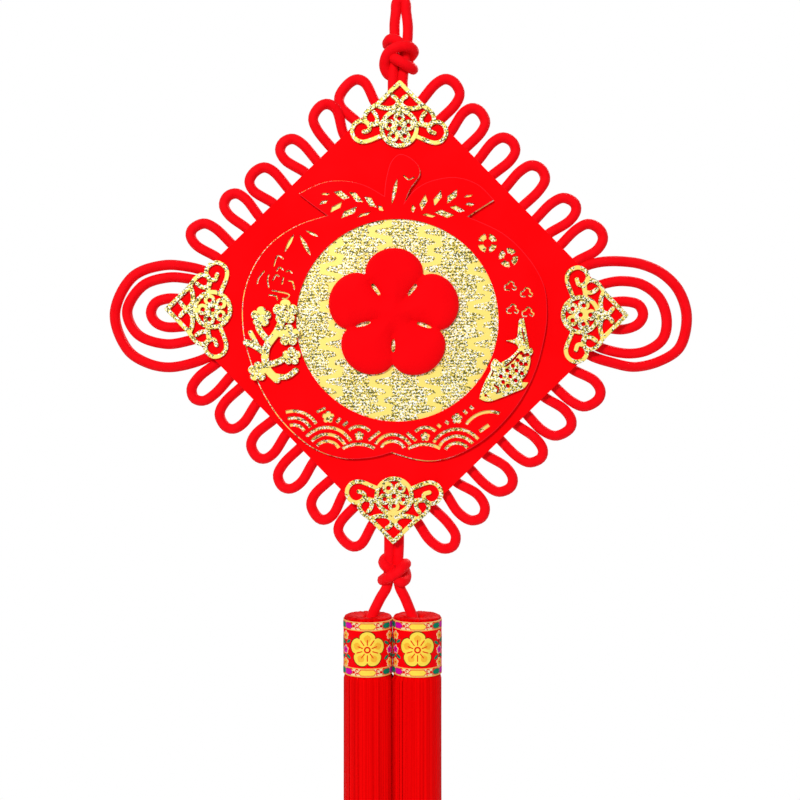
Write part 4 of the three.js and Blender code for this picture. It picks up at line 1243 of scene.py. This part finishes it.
@dataclass
class GiltPieces:
    """The gilt cut-outs: four corner pieces, the sprig of blossoms and the leaping carp."""

    roundel_z: float = -28.4
    roundel_outer: float = 11.4
    roundel_inner: float = 8.9
    flower_tip: float = 9.2
    flower_notch: float = 4.4
    hole_reach: float = 5.7
    corner_overhang: float = 0.85
    scale_length: float = 3.1
    scale_width: float = 2.5
    finish: GlitterCard = field(default_factory=lambda: GlitterCard("glitter_card_patchy"))

    def _bands(self, name: str, bands: list[tuple[float, Flat]], layer: Layer) -> list[bpy.types.Object]:
        """Cuts bands, each a hair thinner than the last so that no two faces share a plane.

        Args:
            name: The start of the objects' names.
            bands: The width and the middle line of each band.
            layer: The layer that they lie on.

        Returns:
            The bands.
        """
        return [flat_piece(f"{name}_{k}", [ribbon(points, width)], layer, 0.25, rise=-0.02 * k)
                for k, (width, points) in enumerate(bands)]

    def corner(self, name: str, clockwise: float) -> bpy.types.Object:
        """Makes one corner piece.

        Args:
            name: The object's name.
            clockwise: How far it is turned from the top corner, in degrees.

        Returns:
            The corner piece.
        """
        bands = [(width, line) for width, points in CORNER_BANDS for line in (points, mirrored(points))]
        bands.append(CORNER_STEM)
        parts = self._bands(name, bands, Layer.CORNER)
        z = self.roundel_z
        ring = [disc(0, z, self.roundel_outer, 48), disc(0, z, self.roundel_inner, 40)]
        parts.append(flat_piece(f"{name}_ring", ring, Layer.CORNER, 0.25, rise=0.03))
        flower = [lobed(0, z, self.flower_tip, self.flower_notch, 5, 90, 12), disc(0, z, 1.4, 14)]
        for k in range(5):
            c, s = toward(90 + 72 * k)
            flower.append(disc(self.hole_reach * c, z + self.hole_reach * s, 1.3, 14))
        parts.append(flat_piece(f"{name}_flower", flower, Layer.CORNER, 0.25, rise=0.05))
        piece = join(name, parts)
        apex = Matrix.Translation((0, 0, (BOARD_SIDE / math.sqrt(2) + self.corner_overhang) * MM))
        turn = Matrix.Rotation(math.radians(clockwise), 4, "Y")
        lain = Layer.CORNER.smaller() @ BOARD_FRAME
        piece.data.transform(lain @ turn @ apex @ lain.inverted())
        return piece

    def sprig(self) -> bpy.types.Object:
        """Makes the sprig of blossoms."""
        parts = self._bands("sprig", SPRIG_BANDS, Layer.GILT)
        for k, (x, z, radius) in enumerate(SPRIG_BLOSSOMS):
            loops = [lobed(x, z, radius, radius * 0.66, 5, 90, 12), disc(x, z, radius * 0.22, 12)]
            parts.append(flat_piece(f"sprig_blossom_{k}", loops, Layer.GILT, 0.25, rise=0.03 + 0.02 * k))
        return join("gilt_sprig", parts)

    def carp(self) -> bpy.types.Object:
        """Makes the carp, with its eye, its gill and rows of scales cut through."""
        cuts = [disc(52.4, -47.6, 0.9, 10)] + [ribbon(line, width, 4) for width, line in CARP_SLITS]
        spine = smooth(CARP_SPINE, len(CARP_ROWS) + 1)
        for k, off in enumerate(CARP_ROWS):
            along = (spine[k + 2] - spine[k]).normalized()
            slant = math.degrees(math.atan2(along.y, along.x))
            for row in (-1, 0, 1):
                at = spine[k + 1] + Vector((-along.y, along.x)) * off * row + along * 0.9 * (row % 2)
                cuts.append(leaf_slot(at.x, at.y, self.scale_length, self.scale_width, slant + 90))
        return slotted_piece("gilt_carp", outline(CARP_OUTLINE, 6), cuts, Layer.GILT, 0.25)

    def build(self) -> None:
        """Makes and dresses all of them."""
        material = self.finish.build()
        made = [(self.corner(f"gilt_corner_{side}", turn), f"corner_{side}")
                for side, turn in (("top", 0), ("right", 90), ("bottom", 180), ("left", 270))]
        made += [(self.sprig(), "blossom_sprig"), (self.carp(), "carp")]
        for piece, node in made:
            smooth_shaded(piece)
            dress(piece, material, [node])


# The tassels

# The side, the place across, and the seed of each tassel's small differences
TASSELS = (("left", -19.15, 7), ("right", 9.35, 8))


@dataclass
class Tassel:
    """One tassel: floss folded over the top round the cord, bound by the cuff, and hanging straight."""

    side: str
    x: float
    seed: int
    top: float = -353.5
    skirt: float = 13.85
    half_apart: float = 14.25
    length: float = 300.0
    threads: int = 156
    thread_width: float = 0.78
    filling_width: float = 0.95
    uneven_cut: float = 3.5
    flat_gap: float = 0.4
    flat_lean: float = 0.07
    spread: float = 1.5
    # The distance of each layer of filling from the middle, and its number of threads
    layers: tuple[tuple[float, int], ...] = (
        (13.1, 132), (12.1, 118), (11.2, 100), (9.6, 70), (7.0, 44), (4.0, 24), (1.2, 6))

    def _folded(self, rng: random.Random) -> list[tuple[list[Vector], float]]:
        """Routes the outer threads from the dimple over the rim, under the cuff and down.

        Args:
            rng: The seeded source of small differences.

        Returns:
            The middle line and the tone of each thread.
        """
        profile = [(3.1, -4.6), (3.6, -2.6), (5.0, -1.5), (7.4, -0.75), (10.0, -0.35), (12.2, -0.4),
                   (13.3, -0.85), (13.5, -1.3), (13.0, -2.0), (12.5, -3.2), (12.2, -20), (12.4, -31.6),
                   (13.2, -33.9)]
        made = []
        for k in range(self.threads):
            turn = 2 * math.pi * (k + 0.3 * rng.uniform(-1, 1)) / self.threads
            lift = 0.22 * rng.uniform(-1, 1)
            line = [Vector((r * math.cos(turn), r * math.sin(turn), z + lift * (r > 3.4)))
                    for r, z in profile]
            line += self._hanging(turn, self._reach(turn) + 0.1 * rng.uniform(-1, 1), -36.4, rng)
            made.append((line, rng.random()))
        return made

    def _reach(self, turn: float) -> float:
        """Finds how far out a thread hangs: both tassels press flat where they meet, a little askew.

        Args:
            turn: The thread's direction from the tassel's middle.

        Returns:
            Its distance from the middle.
        """
        way = 1 if self.side == "left" else -1
        facing = way * (math.cos(turn) - self.flat_lean * math.sin(turn))
        aside = abs(abs(math.atan2(math.sin(turn), way * math.cos(turn))) - math.radians(25))
        corner = self.skirt + self.spread * max(math.cos(2.2 * min(aside, math.pi / 4)), 0)
        if facing < 0.3:
            return self.skirt
        return min((self.half_apart - self.flat_gap) / facing, corner)

    def _hanging(self, turn: float, radius: float, start: float, rng: random.Random) -> list[Vector]:
        """Lets a thread hang, a little wavy and cut a little unevenly.

        Args:
            turn: Its direction from the tassel's middle.
            radius: Its distance from it.
            start: How far below the top it begins.
            rng: The seeded source of small differences.

        Returns:
            The points of its middle line.
        """
        end = -self.length + rng.uniform(0, self.uneven_cut)
        sway, phase = rng.uniform(0.05, 0.35), rng.uniform(0, 2 * math.pi)
        waves = rng.uniform(1.0, 2.6)
        furthest = max(radius, self.skirt) + 0.1
        points = []
        for k in range(12):
            share = k / 11
            z = start + (end - start) * share
            r = min(radius + sway * 0.5 * math.sin(phase + share * waves * 4) * share, furthest)
            a = turn + sway * math.sin(phase + share * waves * math.pi) * share / max(radius, 4)
            points.append(Vector((r * math.cos(a), r * math.sin(a), z)))
        return points

    def _core(self) -> bpy.types.Object:
        """Makes the bundle's solid middle, which stops light from passing between the threads."""
        deselect_all()
        radius, z = 12.3, -self.length * 0.97
        bpy.ops.mesh.primitive_circle_add(vertices=40, radius=radius * MM, fill_type="NGON",
                                          location=(0, 0, z * MM))
        core = bpy.context.active_object
        bpy.ops.object.mode_set(mode="EDIT")
        for r, up in ((12.3, -60), (12.3, -36), (11.6, -33), (11.6, -4), (12.4, -2.2), (12.3, -1.2),
                      (9.8, -0.9), (6.8, -1.4), (4.2, -2.6), (2.2, -5.2)):
            bpy.ops.mesh.extrude_region_move(TRANSFORM_OT_translate={"value": (0, 0, (up - z) * MM)})
            bpy.ops.transform.resize(value=(r / radius, r / radius, 1), center_override=(0, 0, up * MM))
            radius, z = r, up
        bpy.ops.mesh.select_all(action="SELECT")
        bpy.ops.mesh.normals_make_consistent(inside=False)
        bpy.ops.object.mode_set(mode="OBJECT")
        bpy.ops.object.transform_apply(location=True, rotation=True, scale=True)
        return core

    def _threads(self, name: str, lines: list[tuple[list[Vector], float]], width: float) -> bpy.types.Object:
        """Sweeps many threads and writes each one's tone.

        Args:
            name: The object's name.
            lines: The middle line and the tone of each thread.
            width: The threads' width.

        Returns:
            The joined threads.
        """
        mesh = bpy.data.meshes.new(name)
        corners, faces, tones = [], [], []
        for line, tone in lines:
            first = len(corners)
            axis = Vector((line[-1].x, line[-1].y, 0))
            out = axis.normalized() if axis.length > 1e-6 else Vector((1, 0, 0))
            side = Vector((-out.y, out.x, 0))
            for i, at in enumerate(line):
                along = (line[min(i + 1, len(line) - 1)] - line[max(i - 1, 0)]).normalized()
                up = side.cross(along).normalized()
                for k in range(3):
                    a = 2 * math.pi * k / 3 + math.pi / 2
                    corners.append((at + (side * math.cos(a) + up * math.sin(a)) * width / 2) * MM)
                    tones.append(tone)
            for i in range(len(line) - 1):
                for k in range(3):
                    a, b = first + i * 3 + k, first + i * 3 + (k + 1) % 3
                    faces.append((a, b, b + 3, a + 3))
            last = first + (len(line) - 1) * 3
            faces += [(first + 2, first + 1, first), (last, last + 1, last + 2)]
        mesh.from_pydata(corners, [], faces)
        mesh.attributes.new("tone", "FLOAT", "POINT").data.foreach_set("value", tones)
        return link_new(name, mesh)

    def build(self, thread: bpy.types.Material) -> None:
        """Makes the tassel.

        Args:
            thread: The floss.
        """
        rng = random.Random(self.seed)
        outer = self._threads(f"floss_{self.side}", self._folded(rng), self.thread_width)
        lines = []
        for radius, count in self.layers:
            start = rng.random()
            for k in range(count):
                turn = 2 * math.pi * (k + start + 0.35 * rng.uniform(-1, 1)) / count
                line = self._hanging(turn, radius + 0.3 * rng.uniform(-1, 1), -34.0, rng)
                lines.append((line, rng.random()))
        inner = self._threads(f"filling_{self.side}", lines, self.filling_width)
        core = self._core()
        core.data.attributes.new("tone", "FLOAT", "POINT")
        tassel = join(f"floss_tassel_{self.side}", [outer, inner, core])
        tassel.data.transform(Matrix.Translation((self.x * MM, 0, self.top * MM)))
        smooth_shaded(tassel, 70)
        dress(tassel, thread, [f"tassel_{self.side}"])


class Silk(Enum):
    """The colours woven into the cuffs."""

    GROUND = 0xF20008
    CREAM = 0xE4CE9E
    GOLD = 0xF2CE48
    AMBER = 0xE8AC34
    MAGENTA = 0xC8009C
    GREEN = 0x007A58
    DARK = 0x5A1A10
    SCARLET = 0xD80010

    @property
    def material(self) -> bpy.types.Material:
        """The woven silk of this colour, once it is made."""
        return bpy.data.materials[f"woven_silk_{self.name.lower()}"]


@dataclass
class BrocadeCuff:
    """The brocade band round a tassel: cream borders with lozenges, and a gold blossom on a red ground."""

    side: str
    x: float
    top: float = -355.4
    radius: float = 14.2
    # How far aside it reaches before it is pressed flat
    half_apart: float = 14.23
    thick: float = 0.8
    height: float = 31.2
    border: float = 5.0
    float_thick: float = 0.24
    # How wide the faces of the pattern are before they are bent round the cuff
    facet: float = 1.2

    @property
    def round(self) -> float:
        """The way round the cuff."""
        return 2 * math.pi * self.radius

    @property
    def middles(self) -> list[float]:
        """The places round the cuff of its three medallions."""
        return [-self.round / 3, 0.0, self.round / 3]

    def _wrap(self, thing: bpy.types.Object) -> None:
        """Bends flat work round the cuff, which is pressed flat where it meets the other one.

        Args:
            thing: The flat work, with x across, y out and z down from the cuff's top.
        """
        for vertex in thing.data.vertices:
            across, out, down = vertex.co
            a = across / (self.radius * MM) - math.pi / 2
            r = self.radius * MM + out
            aside = max(-self.half_apart * MM, min(self.half_apart * MM, r * math.cos(a)))
            vertex.co = (self.x * MM + aside, r * math.sin(a), self.top * MM + down)

    def _motif(self, name: str, loops: list[Flat], silk: Silk, level: int) -> bpy.types.Object:
        """Cuts one motif and lays it flat, ready to bend.

        Args:
            name: The object's name.
            loops: Its outlines, across and up from the cuff's middle.
            silk: Its colour.
            level: How many layers it lies above the ground.

        Returns:
            The flat motif, in its colour.
        """
        lowered = [[(x, z - self.height / 2) for x, z in loop] for loop in loops]
        thing = cut_flat(name, lowered, self.float_thick)
        grid = bmesh.new()
        grid.from_mesh(thing.data)
        low = min(v.co.x for v in grid.verts)
        high = max(v.co.x for v in grid.verts)
        for k in range(1, int((high - low) / (self.facet * MM)) + 1):
            bmesh.ops.bisect_plane(grid, geom=[*grid.verts, *grid.edges, *grid.faces],
                                   plane_co=(low + k * self.facet * MM, 0, 0), plane_no=(1, 0, 0))
        chart = grid.loops.layers.uv.verify()
        for face in grid.faces:
            for loop in face.loops:
                loop[chart].uv = (loop.vert.co.x, loop.vert.co.y)
        # y out of the cuff is the flat work's z, and its y is down
        for vertex in grid.verts:
            x, y, z = vertex.co
            vertex.co = (x, z + (0.02 + 0.09 * level) * MM, y)
        bmesh.ops.recalc_face_normals(grid, faces=grid.faces)
        grid.to_mesh(thing.data)
        grid.free()
        thing.data.materials.append(silk.material)
        return thing

    def _borders(self) -> list[bpy.types.Object]:
        """Makes both cream borders with their lozenges and dots."""
        parts = []
        side = self.round / 6 - 2.6
        for k, z in enumerate((self.height / 2 - self.border / 2, -self.height / 2 + self.border / 2)):
            tall = self.border / 2
            left, right = -self.round / 2, self.round / 2 - 0.01
            band = [(left, z - tall), (right, z - tall), (right, z + tall), (left, z + tall)]
            parts.append(self._motif(f"border_{k}", [band], Silk.CREAM, 0))
            for up in (z - tall + 0.3, z + tall - 0.3):
                edging = bar_slot(0, up, self.round - 0.02, 0.4, 0)
                parts.append(self._motif("edging", [edging], Silk.AMBER, 1))
            for start in self.middles:
                for shift, silk, wide in ((0, Silk.GOLD, 5.0), (-side, Silk.MAGENTA, 3.2),
                                          (side, Silk.GREEN, 3.2)):
                    middle = start + shift
                    flat = wide - 1.5
                    shape = [(middle - wide, z), (middle - flat, z + 1.5), (middle + flat, z + 1.5),
                             (middle + wide, z), (middle + flat, z - 1.5), (middle - flat, z - 1.5)]
                    rim = [(middle + (x - middle) * 1.1, z + (at - z) * 1.22) for x, at in shape]
                    parts.append(self._motif("lozenge_rim", [rim], Silk.SCARLET, 1))
                    parts.append(self._motif("lozenge", [shape], silk, 2))
                for way in (-1, 1):
                    dot = disc(start + way * 8.1, z, 0.85, 10)
                    parts.append(self._motif("dot", [dot], Silk.SCARLET, 1))
                    for tail in (-1, 1):
                        for step in (6.1, 10.0):
                            curl = arc_slot(start + way * step, z + tail * 1.1, 0.75, 0.62, 0, 250, 8)
                            parts.append(self._motif("curl", [curl], Silk.SCARLET, 1))
        return parts

    def _medallion(self, middle: float) -> list[bpy.types.Object]:
        """Makes one gold blossom medallion with its dark outline.

        Args:
            middle: Its place round the cuff.

        Returns:
            Its layers.
        """
        tall = self.height / 2 - self.border + 0.1
        rim, gold = (lobed(middle, 0, tall - inset, tall * 0.74 - inset, 5, 90, 14) for inset in (0, 0.55))
        parts = [self._motif("medallion_rim", [rim], Silk.DARK, 0),
                 self._motif("medallion", [gold], Silk.GOLD, 1)]
        for k in range(5):
            slant = 90 + 72 * k
            (c, s), between = toward(slant), toward(slant + 36)
            petal = leaf_slot(middle + c * 6.2, s * 6.2, 4.6, 4.2, slant)
            parts.append(self._motif("petal", [petal], Silk.AMBER, 2))
            vein = ribbon([(middle + c * r, s * r) for r in (2.8, 5.6)], 0.5)
            parts.append(self._motif("vein", [vein], Silk.SCARLET, 3))
            seam = ribbon([(middle + between[0] * r, between[1] * r) for r in (3.2, 6.4)], 0.55)
            parts.append(self._motif("seam", [seam], Silk.SCARLET, 2))
        eye = [disc(middle, 0, 1.9, 16), disc(middle, 0, 1.1, 12)]
        parts.append(self._motif("eye", eye, Silk.SCARLET, 3))
        return parts

    def _side_sprays(self, middle: float) -> list[bpy.types.Object]:
        """Makes the small flowers and leaves between two medallions.

        Args:
            middle: Their place round the cuff.

        Returns:
            Their pieces.
        """
        stem = ribbon([(middle - 0.5, -9), (middle + 1.1, -4), (middle - 0.6, 2), (middle + 0.8, 9)], 0.5)
        parts = [self._motif("stem", [stem], Silk.DARK, 0)]
        for z, silk in ((7.2, Silk.AMBER), (-1.0, Silk.MAGENTA), (-8.2, Silk.AMBER)):
            loops = (lobed(middle, z, 2.6, 1.7, 5, 90, 6), lobed(middle, z, 2.1, 1.3, 5, 90, 6),
                     disc(middle, z, 0.6, 8))
            for level, (loop, colour) in enumerate(zip(loops, (Silk.CREAM, silk, Silk.SCARLET)), 1):
                parts.append(self._motif("flower", [loop], colour, level))
        for z, slant, way in ((4.0, 30, 1), (3.2, 150, -1), (-4.6, -30, 1), (-5.0, 210, -1)):
            leaf = leaf_slot(middle + way * 2.6, z, 4.2, 1.7, slant)
            parts.append(self._motif("leaf", [leaf], Silk.GREEN, 1))
        return parts

    def _ground(self) -> bpy.types.Object:
        """Makes the red ground, a band with turned edges."""
        deselect_all()
        bpy.ops.mesh.primitive_cylinder_add(vertices=96, radius=(self.radius - self.thick / 2) * MM,
                                            depth=self.height * MM, end_fill_type="NOTHING",
                                            location=(self.x * MM, 0, (self.top - self.height / 2) * MM))
        ground = bpy.context.active_object
        bpy.ops.object.transform_apply(location=True, rotation=True, scale=True)
        apply_modifier(ground, "SOLIDIFY", {"thickness": self.thick * MM, "offset": 0.0})
        apply_modifier(ground, "BEVEL", {"width": 0.25 * MM, "segments": 2, "limit_method": "ANGLE"})
        chart = ground.data.uv_layers[0].data
        for loop, data in zip(ground.data.loops, chart):
            at = ground.data.vertices[loop.vertex_index].co
            data.uv = (math.atan2(at.y, at.x - self.x * MM) * self.radius * MM, at.z)
        return ground

    def build(self) -> None:
        """Makes the cuff."""
        ground = self._ground()
        ground.name = f"brocade_cuff_{self.side}"
        smooth_shaded(ground)
        dress(ground, Silk.GROUND.material, [f"cuff_{self.side}"])
        parts = self._borders()
        for middle in self.middles:
            parts += self._medallion(middle)
            parts += self._side_sprays(middle + self.round / 6)
        pattern = join(f"brocade_pattern_{self.side}", parts)
        self._wrap(pattern)
        dress(pattern, None, [])


# The room


@dataclass
class Studio:
    """A white room with soft light, and the camera level with the hanging, as in the photograph."""

    distance: float = 0.66
    picture_width: float = 0.464
    look_x: float = -0.0006
    look_z: float = -0.2291
    floor_z: float = -0.70
    floor_side: float = 0.9
    sky: float = 0.46
    # Each soft light: name, place, length of its side and power in watts
    panels: tuple[tuple[str, tuple[float, float, float], float, float], ...] = (
        ("key", (-0.95, -2.85, 1.1), 0.5, 65), ("fill", (0.9, -1.4, -0.2), 1.0, 1.5),
        ("behind", (0.6, 1.2, 0.5), 0.7, 12))

    def camera(self) -> None:
        """Makes the camera."""
        data = bpy.data.cameras.new("camera")
        data.sensor_width = 36
        data.lens = 36 * self.distance / self.picture_width
        data.clip_start = 0.01
        data.clip_end = 50
        camera = bpy.data.objects.new("camera", data)
        bpy.context.scene.collection.objects.link(camera)
        camera.location = (self.look_x, -self.distance, self.look_z)
        camera.rotation_euler = (math.pi / 2, 0, 0)
        bpy.context.scene.camera = camera

    def _panel(self, name: str, place: tuple[float, float, float], size: float, power: float) -> None:
        """Hangs a soft square light that faces the hanging.

        Args:
            name: The light's name.
            place: Where it hangs.
            size: The length of its side.
            power: Its power in watts.
        """
        data = bpy.data.lights.new(name, "AREA")
        data.size = size
        data.energy = power
        light = bpy.data.objects.new(name, data)
        bpy.context.scene.collection.objects.link(light)
        light.location = place
        light.rotation_euler = (Vector((0, 0, -0.3)) - Vector(place)).to_track_quat("-Z", "Y").to_euler()

    def light(self) -> None:
        """Makes the lights and the white surroundings."""
        for panel in self.panels:
            self._panel(*panel)
        world = bpy.data.worlds.new("white_room")
        world.use_nodes = True
        bpy.context.scene.world = world
        tree = world.node_tree
        tree.nodes.clear()
        seen = add_node(tree, "ShaderNodeLightPath").outputs["Is Camera Ray"]
        level = add_node(tree, "ShaderNodeMapRange", {"To Min": self.sky, "To Max": 1.0}, {"Value": seen})
        shine = add_node(tree, "ShaderNodeBackground", {"Color": (1, 1, 1, 1)}, {"Strength": level})
        add_node(tree, "ShaderNodeOutputWorld", {}, {"Surface": shine})
        bpy.context.scene.view_settings.view_transform = "Standard"

    def floor(self) -> None:
        """Makes the pale floor under the hanging."""
        deselect_all()
        bpy.ops.mesh.primitive_plane_add(size=self.floor_side, location=(0, 0, self.floor_z))
        floor = bpy.context.active_object
        floor.name = "floor"
        bpy.ops.object.transform_apply(location=True, rotation=True, scale=True)
        # Rolled white paint: a pale matt ground with the faintest grain
        material, tree = new_material("matt_white_paint")
        grain = add_node(tree, "ShaderNodeTexNoise", {"Scale": 400.0})
        bump = add_node(tree, "ShaderNodeBump", {"Strength": 0.1, "Distance": 0.2 * MM}, {"Height": grain})
        shader = add_node(tree, "ShaderNodeBsdfPrincipled", {
            "Base Color": linear(0xF4F4F4), "Roughness": 0.9}, {"Normal": bump})
        add_node(tree, "ShaderNodeOutputMaterial", {}, {"Surface": shader})
        floor.data.materials.append(material)

    def build(self) -> None:
        """Makes the camera, the light and the floor."""
        self.camera()
        self.light()
        self.floor()


def main() -> None:
    """Builds the hanging and its room."""
    logging.basicConfig(level=logging.INFO, format="%(message)s")
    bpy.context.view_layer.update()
    Studio().build()
    KnottedCord().build()
    FlockedBoard().build()
    AppleSheets().build()
    PuffyBlossom().build()
    GiltPieces().build()
    thread = RayonThread().build()
    for silk in Silk:
        WovenSilk(f"woven_silk_{silk.name.lower()}", silk.value).build()
    for side, x, seed in TASSELS:
        Tassel(side, x, seed).build(thread)
        BrocadeCuff(side, x).build()


if __name__ == "__main__":
    main()
